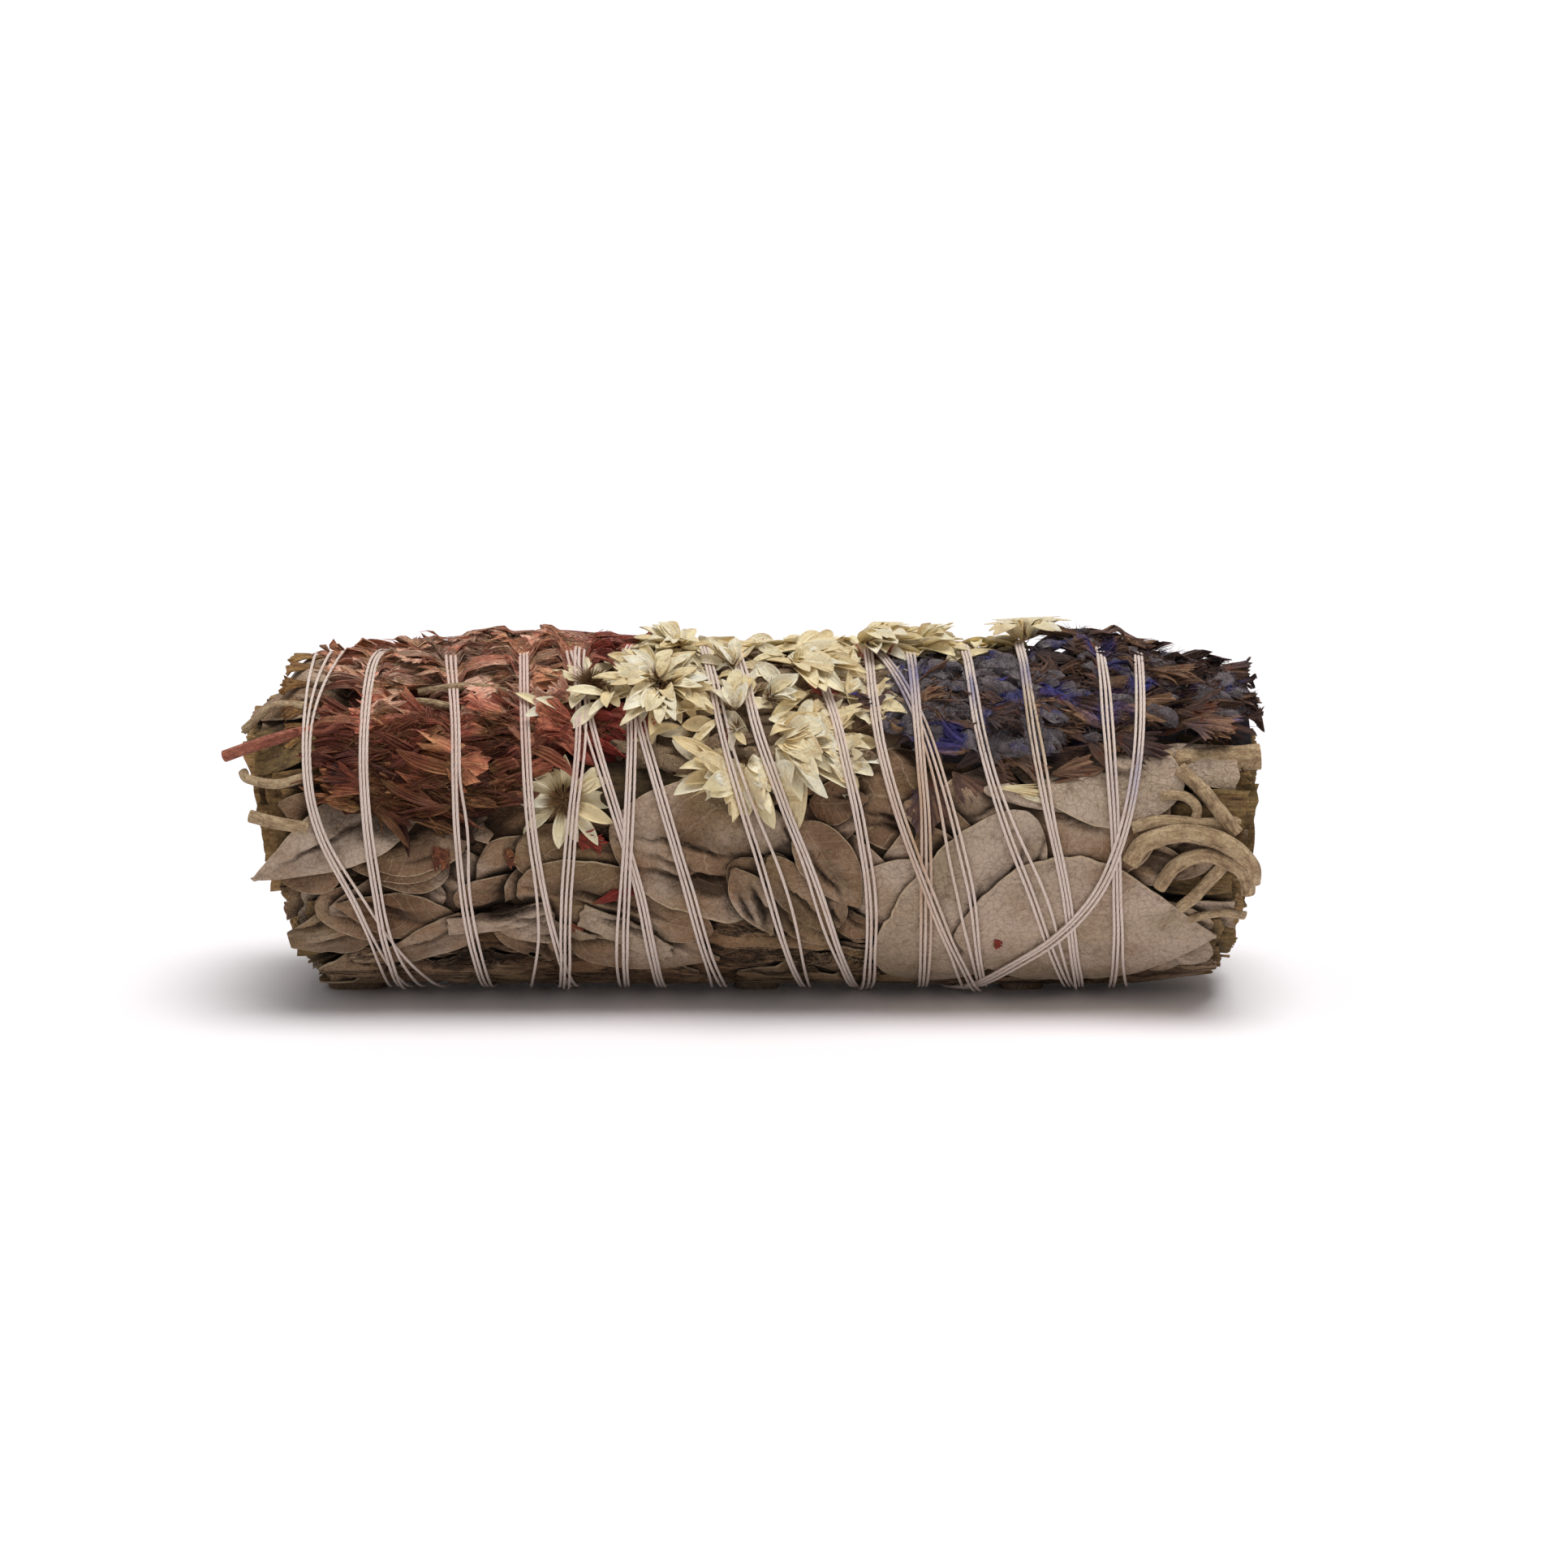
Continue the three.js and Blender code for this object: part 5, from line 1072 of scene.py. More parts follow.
# Leaves rolled up lengthwise at an end: in section a flattened spiral that widens by the same step
# each turn, run out from inside the bundle past its cut face.
def spiralRolls(side):
    parts = []
    draw = np.random.default_rng(67 + side)
    for n in range(rolls["spirals"]):
        wide, turns, flat = draw.uniform(1.0, 2.3), draw.uniform(1.2, 2.3), draw.uniform(0.55, 0.95)
        s, t = np.linspace(0, 1, 32)[None], np.array([0, 0.5, 0.8, 0.93, 1])[:, None]
        free = bindRadius(endX(side, n * 137.5 + 25, 12) + side, n * 137.5 + 25) - wide
        centre = place(0, n * 137.5 + 25, min(free, 11.2 * ((n + 0.7) / rolls["spirals"]) ** 0.5))
        a = draw.uniform(0, 6.28) + 2 * np.pi * turns * s * draw.choice([-1, 1])
        tilt = draw.uniform(0, 3.14)
        size = wide * (0.3 + 0.7 * s) * (1 + 0.12 * lattice(s * 5 + n, t * 1.5, 68))
        out = draw.uniform(0.0, 1.7) + 0.35 * lattice(s * 8, n * 2.1, 69)
        x = endX(side, n * 137.5 + 25, 12) - side * 5 + side * (5 + out) * t + 0 * s
        rings = []
        for radius in (size, size - rolls["thickness"][1]):
            p, q = radius * np.cos(a), flat * radius * np.sin(a)
            rings.append(np.stack([x, centre[1] + p * math.cos(tilt) - q * math.sin(tilt), centre[2] + p * math.sin(tilt) + q * math.cos(tilt)], -1))
        # painted shade, deeper towards the inside of the bundle
        growth = np.stack(np.broadcast_arrays(draw.uniform(0.3, 1.0), t, s, 0.85 * ramp(0.95, 0.5, t)), -1)
        parts.append(sheetPart(rings[0][None], rings[1][None], np.stack(np.broadcast_arrays(t, s), -1), growth))
    return parts


# Cut woody stems at an end: round bars with a slightly domed cut face.
def cutStems(side, count=12):
    draw = np.random.default_rng(71 + side)
    turn = np.radians(np.arange(14) * 360 / 14)[None, None]
    angle = (np.arange(count) * 137.5 + 40)[:, None, None]
    r = draw.uniform(2.5, 13.5, (count, 1, 1))
    radius = draw.uniform(0.4, 1.2, (count, 1, 1))
    out = draw.uniform(0.2, 1.6, (count, 1, 1))
    steps = np.array([-5, -2, 0.0, 0.9, 1.0, 1.02, 0.99])[None, :, None]
    size = np.array([1, 1, 1, 1, 0.96, 0.5, 0.18])[None, :, None]
    face = endX(side, angle, r)
    r = np.minimum(r, bindRadius(face + side * 1.5, angle) - radius - 0.5)
    middle = place(0, angle, r)
    x = face + side * np.where(steps > 0, steps * out, steps) + 0 * turn
    wobble = 1 + 0.08 * np.cos(3 * turn + r)
    y = middle[..., 1] + radius * size * wobble * np.cos(turn)
    z = middle[..., 2] + radius * size * wobble * np.sin(turn)
    growth = np.zeros((*x.shape, 4))
    growth[..., 0] = draw.uniform(0.2, 0.9, (count, 1, 1))
    growth[..., 3] = np.where(size < 0.6, 0.3, 0.0)
    return tubePart(np.stack([x, y, z], -1), growth)


heartParts = [packedHeart()]
for side in (-1, 1):
    heartParts += [dict(part, material=1) for part in rolledEdges(side) + spiralRolls(side)]
    heartParts.append(dict(cutStems(side), material=2))
makePiece("sagePackedHeart", heartParts, [materials["core"], materials["cut"], materials["stalk"]], ["sage_core"])
print("packed the heart")


# Folds under the bundle: leaf pads whose feet are flat on the ground.
folds = [
    {"node": "sage_fold_under_left", "x": -40.2, "length": 6.4, "width": 4.6},
    {"node": "sage_fold_under_middle", "x": 1.1, "length": 5, "width": 4.6},
    {"node": "sage_fold_under_right", "x": 28.4, "length": 5, "width": 4.6},
]


# A pad's radius rises from just inside the leaves at its rim to below the ground in its middle,
# where place() holds it flat on the ground.
def underFold(fold, seed):
    s, t = np.linspace(-1, 1, 26)[:, None], np.linspace(-1, 1, 34)[None]
    x = fold["x"] + fold["length"] / 2 * s * (1 - 0.12 * t * t)
    angle = -90 + np.degrees(fold["width"] / 2 * t / bundle["radius"]) + 0 * s
    bulge = (1 - s**4) * (1 - t**4)
    r = bindRadius(x, angle) - 1.0 + 2.4 * bulge**0.6 + 0.4 * crumple(s * 3, t * 4, seed) * (1 - bulge)
    r = np.minimum(r, pressLimit(x, angle, 2.2))
    # fourth value 0.5: painted shade, so the pads sit dark under the bundle
    growth = np.stack(np.broadcast_arrays(0.5, (s + 1) / 2, (t + 1) / 2, 0.5), -1)
    return sheetPart(place(x, angle, r)[None], place(x, angle, np.minimum(r, 17.5) - 1.0)[None], growth[..., 1:3], growth)


for k, fold in enumerate(folds):
    makePiece(camel(fold["node"]), [underFold(fold, 80 + k)], [materials["leaf"]], [fold["node"]])


# A stalk through points of x, angle, depth: a Catmull-Rom curve, a ring of its radius on each
# step, with a gentle lumpiness.
def stalkPart(points, radius, sides=14, steps=14, taper=1.0, seed=3, flat=1.0, tone=0.5):
    x, angle, depth = np.array(points, float).T
    knots = place(x, angle, bindRadius(x, angle) - depth)
    padded = np.concatenate([[2 * knots[0] - knots[1]], knots, [2 * knots[-1] - knots[-2]]])
    t = np.linspace(0, 1, steps, endpoint=False)[None, :, None]
    p0, p1, p2, p3 = (padded[k : len(knots) - 1 + k][:, None] for k in range(4))
    path = 0.5 * (2 * p1 + (p2 - p0) * t + (2 * p0 - 5 * p1 + 4 * p2 - p3) * t**2 + (3 * p1 - p0 - 3 * p2 + p3) * t**3)
    path = np.concatenate([path.reshape(-1, 3), knots[-1:]])
    tangent = np.gradient(path, axis=0)
    tangent /= np.linalg.norm(tangent, axis=1, keepdims=True)
    up = np.stack([0 * path[:, 0], -np.cos(np.radians(angleOf(path))), np.sin(np.radians(angleOf(path)))], -1)
    across = np.cross(tangent, up)
    across /= np.linalg.norm(across, axis=1, keepdims=True)
    up = np.cross(across, tangent)
    turn = np.radians(np.arange(sides) * 360 / sides)
    along = np.linspace(0, 1, len(path))[:, None]
    size = radius * (1 + (taper - 1) * along) * (1 + 0.07 * lattice(along * len(path) / 4, turn[None] * 1.3, seed))
    rings = path[:, None] + (size * np.cos(turn))[..., None] * across[:, None] + (flat * size * np.sin(turn))[..., None] * up[:, None]
    growth = np.stack(np.broadcast_arrays(tone, along, turn[None] / 6.3, 0), -1)
    return tubePart(rings[None], growth[None])


stalks = [
    {"node": "red_stem", "radius": 0.6, "material": "redStalk", "slot": "red_flower",
     "points": [[-52.3, 35.5, 0.2], [-48.4, 38, -0.55], [-44.4, 40.2, 0.5], [-42.2, 41.2, 0.68], [-40, 42.6, 0.05], [-37.8, 44, 0.66], [-35.4, 45.6, 0.1], [-32, 48, 1.2]]},
    {"node": "cream_stem_upper", "radius": 0.62, "material": "felt", "slot": "felted_stem",
     "points": [[-11.4, 72, 2.0], [-4, 74, 2.0], [4, 73, 1.9], [12.6, 76, 2.0]]},
    {"node": "cream_stem_middle", "radius": 0.7, "material": "felt", "slot": "felted_stem",
     "points": [[-11.4, 46, 1.8], [-3, 45, 1.5], [5, 48, 1.6], [12.8, 52, 1.9]]},
    {"node": "cream_stem_lower", "radius": 0.65, "material": "felt", "slot": "felted_stem",
     "points": [[-11.2, 35, 1.7], [-4, 33, 1.4], [4, 34, 1.6], [12.6, 38, 1.9]]},
    {"node": "cream_stem_crest", "radius": 0.6, "material": "felt", "slot": "felted_stem",
     "points": [[-12, 100, 2.1], [-2, 103, 2.1], [9, 102, 2.1], [20, 101, 2.1], [31, 103, 2.1]]},
    {"node": "sage_petiole_outer", "radius": 0.75, "material": "stalk", "slot": "sage_stem",
     "points": [[41.4, -16, 0.4], [43, -7, -0.3], [45.6, -3, -0.6], [48.4, -6, -0.4], [50, -12, 0.2], [50.4, -19, 0.6]]},
    {"node": "sage_petiole_long", "radius": 0.75, "material": "stalk", "slot": "sage_stem",
     "points": [[43.4, 27, 0.2], [45.6, 19, -0.2], [47.4, 11, -0.1], [49, 4, 0.4]]},
    {"node": "sage_stem_end_right", "radius": 1.3, "material": "stalk", "slot": "sage_stem",
     "points": [[41.5, 31, 1.9], [47, 32.5, 1.5], [51.6, 34, 1.3]]},
]
for k, stalk in enumerate(stalks):
    part = stalkPart(stalk["points"], stalk["radius"], seed=90 + k)
    makePiece(camel(stalk["node"]), [part], [materials[stalk["material"]]], [stalk["node"]])
print("laid the stalks")


# Many blades at once. Each one starts at a root and runs along its direction; its slope turns
# from rise to rise + arch, its half width is W/2 sin(pi s^p)^q, it is cupped by v^2, pleated by
# cos(k pi v) and twisted about its own length. Sizes are arrays with one number per blade.
def blades(root, along, across, out, length, width, rows=8, columns=5, thickness=0.12, rise=0.0, arch=0.0,
           cup=0.0, pleat=0.0, pleats=2.0, twist=0.0, sway=0.0, fullest=0.8, blunt=0.8, tone=0.5, shade=0.0,
           ragged=0.0, seed=1, press=2.4):
    count = len(root)
    per = lambda value: np.broadcast_to(np.asarray(value, float), (count,))[:, None, None]
    s, v = np.linspace(0, 1, rows)[None, :, None], np.linspace(-1, 1, columns)[None, None]
    slope = per(rise) + per(arch) * s
    step = per(length) / (rows - 1)
    forward = np.cumsum(np.cos(slope) * step, 1) - np.cos(slope[:, :1]) * step
    upward = np.cumsum(np.sin(slope) * step, 1) - np.sin(slope[:, :1]) * step
    half = per(width) / 2 * np.maximum(0.1, np.sin(np.pi * np.clip(s, 0.001, 0.999) ** per(fullest)) ** per(blunt))
    edge = 1 + per(ragged) * lattice(s * 6 + 0 * v, np.arange(count)[:, None, None] * 1.37 + np.sign(v), seed)
    x = half * v * edge
    y = per(cup) * half * v * v + per(pleat) * half * np.cos(per(pleats) * np.pi * v + 1)
    turn = per(twist) * s
    sideways = x * np.cos(turn) - y * np.sin(turn) + per(sway) * s * s
    lifted = x * np.sin(turn) + y * np.cos(turn)
    f = (forward - np.sin(slope) * lifted)[..., None]
    h = (upward + np.cos(slope) * lifted)[..., None]
    middle = root[:, None, None] + f * along[:, None, None] + h * out[:, None, None] + sideways[..., None] * across[:, None, None]
    normal = np.cos(slope)[..., None] * out[:, None, None] - np.sin(slope)[..., None] * along[:, None, None]
    thick = (thickness / 2 * (1 - 0.5 * v**2))[..., None]
    upper, lower = pressedFaces(middle, normal, thick, press)
    growth = np.stack(np.broadcast_arrays(per(tone), s, (v + 1) / 2, per(shade)), -1)
    uv = np.stack(np.broadcast_arrays(s[0] + 0 * v[0], (v[0] + 1) / 2 + 0 * s[0]), -1)
    return sheetPart(upper, lower, uv, growth)


# Pleated cups: a tube out from its foot to a toothed mouth and back inside to a pole. mouths gives
# distance along and half width at each ring; lobes wave the section and teeth the mouth.
cupRings = {
    "along": [0.0, 0.06, 0.16, 0.3, 0.46, 0.62, 0.78, 0.92, 1.0, 0.9, 0.62],
    "wide": [0.14, 0.2, 0.36, 0.56, 0.66, 0.66, 0.68, 0.74, 0.8, 0.6, 0.12],
    "mouth": [0, 0, 0, 0, 0, 0.1, 0.35, 0.8, 1, 0.8, 0.1],
}


def cups(root, along, across, out, length, width, sides=12, lobes=4, flat=0.6, rise=0.0, arch=0.0, sway=0.0,
         teeth=0.15, tone=0.5, shade=0.0, seed=1, press=2.4):
    count = len(root)
    per = lambda value: np.broadcast_to(np.asarray(value, float), (count,))[:, None, None]
    a, w, m = (np.array(cupRings[key])[None, :, None] for key in ("along", "wide", "mouth"))
    turn = np.radians(np.arange(sides) * 360 / sides)[None, None]
    phase = np.random.default_rng(seed).uniform(0, 6.28, (count, 1, 1))
    section = 1 + 0.22 * np.cos(lobes * turn + phase) * ramp(0.1, 0.5, a) + 0.14 * lattice(turn * 1.9 + 7 * phase, a * 4, seed)
    reach = a * per(length) * (1 + per(teeth) * m * np.cos(lobes * turn + phase) + 0.08 * m * lattice(turn * 3.1 + phase, a, seed + 1))
    ring = per(width) / 2 * w * section / 0.8
    slope = per(rise) + per(arch) * a / 2
    f = reach * np.cos(slope)
    h = reach * np.sin(slope) + ring * np.sin(turn) * per(flat)
    c = ring * np.cos(turn) + per(sway) * a * a
    rings = root[:, None, None] + f[..., None] * along[:, None, None] + h[..., None] * out[:, None, None] + c[..., None] * across[:, None, None]
    # painted shade inside the mouth and towards the inner pole
    inside = np.array([0, 0, 0, 0, 0, 0, 0, 0, 0.1, 0.6, 0.9])[None, :, None]
    growth = np.stack(np.broadcast_arrays(per(tone), a, turn / 6.3, np.maximum(per(shade), inside)), -1)
    return tubePart(keepPressed(rings, press), growth)


# Pleated fans: sectors round their feet, rho from foot to rim and phi across the spread. The height
# is rho times the sine of a slope that turns from rise to rise + arch, plus cup v^2, plus the
# pleats' zigzag, which grows with rho. The pleats and noise make the rim toothed.
def fans(root, along, across, out, length, opening, pleats=6, rows=7, thickness=0.1, rise=0.1, arch=0.0, cup=0.0,
         fold=0.5, teeth=0.2, tone=0.5, shade=0.0, seed=1, press=2.4):
    count, columns = len(root), 2 * pleats + 1
    per = lambda value: np.broadcast_to(np.asarray(value, float), (count,))[:, None, None]
    s, v = np.linspace(0.04, 1, rows)[None, :, None], np.linspace(-1, 1, columns)[None, None]
    zigzag = np.cos(np.pi * np.arange(columns))[None, None]
    own = lattice(v * pleats * 0.9 + 0 * s, np.arange(count)[:, None, None] * 2.3 + s, seed)
    phi = per(opening) / 2 * (v + 0.1 * own)
    rho = per(length) * s * (1 + per(teeth) * ramp(0.5, 1, s) * (0.3 * zigzag + own) - 0.14 * v * v)
    slope = per(rise) + per(arch) * s
    f = rho * np.cos(phi) * np.cos(slope)
    c = rho * np.sin(phi)
    h = rho * np.sin(slope) + per(cup) * rho * v * v + per(fold) * rho * per(opening) / (2 * pleats) * zigzag * (0.7 + 0.6 * own)
    middle = root[:, None, None] + f[..., None] * along[:, None, None] + c[..., None] * across[:, None, None] + h[..., None] * out[:, None, None]
    upper, lower = pressedFaces(middle, out[:, None, None] + 0 * middle, thickness / 2, press)
    # tone 0.12 higher on the raised pleats and lower in the valleys: painted light and shade
    growth = np.stack(np.broadcast_arrays(per(tone) + 0.12 * zigzag, s, (v + 1) / 2, per(shade)), -1)
    uv = np.stack(np.broadcast_arrays(s[0] + 0 * v[0], (v[0] + 1) / 2 + 0 * s[0]), -1)
    return sheetPart(upper, lower, uv, growth)


# Fine hairs: three-sided cones that bend one way, as closed tubes.
def hairs(root, direction, length, thickness=0.05, droop=None, tone=0.5, shade=0.0, steps=4):
    count = len(root)
    s = np.linspace(0, 1, steps)[None, :, None, None]
    side = np.cross(direction, [0.3, 0.5, 0.81])
    side /= np.linalg.norm(side, axis=1, keepdims=True) + 1e-9
    other = np.cross(direction, side)
    turn = np.radians([0, 120, 240])
    size = np.broadcast_to(thickness, (count,))[:, None, None, None] * (1 - 0.8 * s)
    path = root[:, None, None] + direction[:, None, None] * s * np.asarray(length).reshape(-1, 1, 1, 1)
    if droop is not None:
        path = path + droop[:, None, None] * s * s
    ring = np.cos(turn)[None, None, :, None] * side[:, None, None] + np.sin(turn)[None, None, :, None] * other[:, None, None]
    rings = path + size * ring
    rings = np.concatenate([rings[..., :2], np.maximum(rings[..., 2:], 0.01)], -1)
    growth = np.stack(np.broadcast_arrays(np.asarray(tone).reshape(-1, 1, 1) + 0 * s[..., 0], s[..., 0], 0.5, shade), -1)
    return tubePart(rings, np.broadcast_to(growth, (*rings.shape[:3], 4)))


# Random places inside a spray. Headings run along the bundle, either way, and a slow noise turns
# them together, so that neighbours lie like tufts.
def scatter(spray, count, draw, margin=1.0, headingSpread=16.0, both=0.5, swirl=32.0):
    left, right = spray["x"]
    x = draw.uniform(left + margin, right - margin, count)
    low, high = spray["low"](x), spray["high"](x)
    angle = low + 3 + (high - low - 6) * draw.uniform(0, 1, count)
    flow = swirl * lattice(x / 6 + 9, angle / 20 + 9, 55)
    heading = np.where(draw.uniform(0, 1, count) < both, 0, 180) + flow + draw.normal(0, headingSpread, count)
    return x, angle, heading


# A place below the string's surface, which the flowers raise on top of the bundle.
def rooted(x, angle, depth):
    return place(x, angle, bindRadius(x, angle) - depth + 2.2 * pileUp(x) * ramp(58, 84, angle) * ramp(135, 112, angle))


# The matted bed under a spray's flowers, a closed sheet with a lumpy top.
def bedPart(spray, seed, top=1.5, shade=0.6):
    left, right = spray["x"]
    s, t = np.linspace(0, 1, int((right - left) / 0.5))[:, None], np.linspace(0, 1, 60)[None]
    x = left + (right - left) * s + 0 * t
    low, high = spray["low"](x), spray["high"](x)
    angle = low + (high - low) * t
    brim = 1 - np.minimum(1, 6 * np.minimum(np.minimum(t, 1 - t), np.minimum(s, 1 - s)))
    depth = top + 0.7 * crumple(x / 3, angle / 9, seed) + 1.2 * brim
    upper = rooted(x, angle, np.minimum(depth, bedDepth - 0.3))
    # the bed's painted shade, as it lies under the flowers
    growth = np.stack(np.broadcast_arrays(0.3, 0.6, t, shade), -1)
    uv = np.stack(np.broadcast_arrays(s, t * 6), -1)
    return sheetPart(keepPressed(upper)[None], rooted(x, angle, bedDepth)[None], uv, growth)


redSpray = {"ribbons": 264, "fans": 56, "cups": 26, "hairs": 1500, "length": (3.6, 7.6), "width": (0.8, 2.0), "fanLength": (3.4, 6.0)}
redStems = {
    "red_spray_front": [[[-36, 52, 0.6], [-33, 54, 0.1], [-29.4, 53, 0.5]], [[-28.4, 52, 0.5], [-26.5, 50, 0.1], [-24.6, 45, 0.5]]],
    "red_spray_top": [[[-40, 70, 0.5], [-34, 74, 0.0], [-28, 71, 0.6]], [[-26, 88, 0.6], [-20, 92, 0.0], [-15, 88, 0.5]], [[-33, 60, 0.4], [-28, 62, 0.0], [-24, 60, 0.4]]],
}


# Fine fibres that lie about among a spray's flowers.
def lyingFibres(spray, count, draw):
    x, angle, heading = scatter(spray, count, draw, 1.2, 30, 0.4)
    along, across, out = surfaceFrame(angle, heading)
    aim = along + out * draw.uniform(-0.1, 0.4, (count, 1))
    aim /= np.linalg.norm(aim, axis=1, keepdims=True)
    made = hairs(rooted(x, angle, draw.uniform(-0.3, 0.7, count)), aim, draw.uniform(0.9, 2.6, count), 0.055, droop=draw.normal(0, 0.45, (count, 3)), tone=draw.uniform(0.2, 1, count))
    return dict(made, points=keepPressed(made["points"]))


# Tufts of pleated ribbons, fans and cups over their bed, deeper ones darker by painted shade, and a few bare stems.
def redFlowers(name, seed):
    spray, draw = sprays[name], np.random.default_rng(seed)
    parts = [bedPart(spray, seed, 1.3)]
    for kind in ("ribbons", "fans", "cups"):
        count = redSpray[kind]
        x, angle, heading = scatter(spray, count, draw, 1.2, 14, 0.4)
        depth = draw.uniform(0.2, 1.8, count)
        along, across, out = surfaceFrame(angle, heading)
        root, tone = rooted(x, angle, depth), draw.uniform(0, 1, count)
        # painted shade: deeper flowers darker
        shade = 0.4 * ramp(0.7, 1.8, depth)
        length = draw.uniform(*redSpray["length"], count)
        if kind == "ribbons":
            parts.append(blades(root, along, across, out, length, draw.uniform(*redSpray["width"], count), rows=9, columns=8, rise=draw.uniform(0, 0.4, count),
                                arch=draw.uniform(-0.9, 0.3, count), cup=draw.uniform(-0.5, 0.5, count), pleat=0.26, pleats=draw.uniform(2.5, 4, count),
                                twist=draw.normal(0, 0.9, count), sway=draw.normal(0, 1.5, count), fullest=draw.uniform(0.6, 1.3, count), blunt=0.5,
                                tone=tone, shade=shade, ragged=0.12, seed=seed + 2))
        elif kind == "fans":
            parts.append(fans(root, along, across, out, draw.uniform(*redSpray["fanLength"], count), np.radians(draw.uniform(28, 75, count)), 6,
                              rise=draw.uniform(0.05, 0.4, count), arch=draw.uniform(-0.5, 0.2, count), cup=draw.uniform(-0.15, 0.25, count), tone=0.8 * tone, shade=shade, seed=seed + 4))
        else:
            parts.append(cups(root, along, across, out, length * 0.75, draw.uniform(1.8, 2.8, count), rise=draw.uniform(0, 0.25, count), lobes=5,
                              arch=draw.uniform(-0.5, 0.3, count), sway=draw.normal(0, 0.8, count), tone=tone, shade=shade, seed=seed + 1))
    parts.append(lyingFibres(spray, redSpray["hairs"], draw))
    for k, points in enumerate(redStems[name]):
        parts.append(dict(stalkPart(points, 0.42, sides=10, steps=8, seed=seed + k, tone=0.7), material=1))
    makePiece(camel(name), parts, [materials["red"], materials["stalk"]], [name])


redFlowers("red_spray_front", 11)
redFlowers("red_spray_top", 23)
print("set the red flowers")

blueSpray = {"lumps": 210, "wool": 2600, "hairs": 1700, "fans": 46, "ribbons": 90, "cups": 14}


# Woolly lumps: spheres pushed in and out by noise, drawn out along their heading, flattened.
def woolLumps(root, along, across, out, size, tone, seed, flat=0.7, stretch=1.3):
    count = len(root)
    p = np.linspace(0.08, np.pi - 0.08, 12)[None, :, None]
    q = np.radians(np.arange(14) * 360 / 14)[None, None]
    offset = np.arange(count)[:, None, None] * 3.7
    push = 1 + 0.32 * lattice(p * 1.4 + offset, 2 * np.cos(q) + 2 * np.sin(q), seed) + 0.2 * lattice(p * 3.3 + offset, 4 * np.cos(q) - 3 * np.sin(q), seed + 1)
    r = size[:, None, None] * push
    bow = 0.5 * size[:, None, None] * lattice(p * 0.9 + offset, 0.5, seed + 2)
    a, c, h = r * np.cos(p) * np.broadcast_to(stretch, (count,))[:, None, None], r * np.sin(p) * np.cos(q) + bow, r * np.sin(p) * np.sin(q) * flat
    rings = root[:, None, None] + a[..., None] * along[:, None, None] + c[..., None] * across[:, None, None] + h[..., None] * out[:, None, None]
    growth = np.stack(np.broadcast_arrays(tone[:, None, None], p / np.pi, q / 6.3, 0), -1)
    return tubePart(keepPressed(rings), growth)


# Short curled fibres that stand off the lumps.
def woolFibres(root, along, across, out, size, count, draw, length=(0.3, 0.9)):
    pick = draw.integers(0, len(root), count)
    aim = along[pick] * draw.normal(0, 1, (count, 1)) + across[pick] * draw.normal(0, 1, (count, 1)) + out[pick] * draw.uniform(0.2, 1.2, (count, 1))
    aim /= np.linalg.norm(aim, axis=1, keepdims=True)
    start = keepPressed(root[pick] + aim * size[pick][:, None] * draw.uniform(0.7, 1.0, (count, 1)))
    return hairs(start, aim, draw.uniform(*length, count), 0.035, droop=draw.normal(0, 0.35, (count, 3)), tone=draw.uniform(0.3, 1, count))


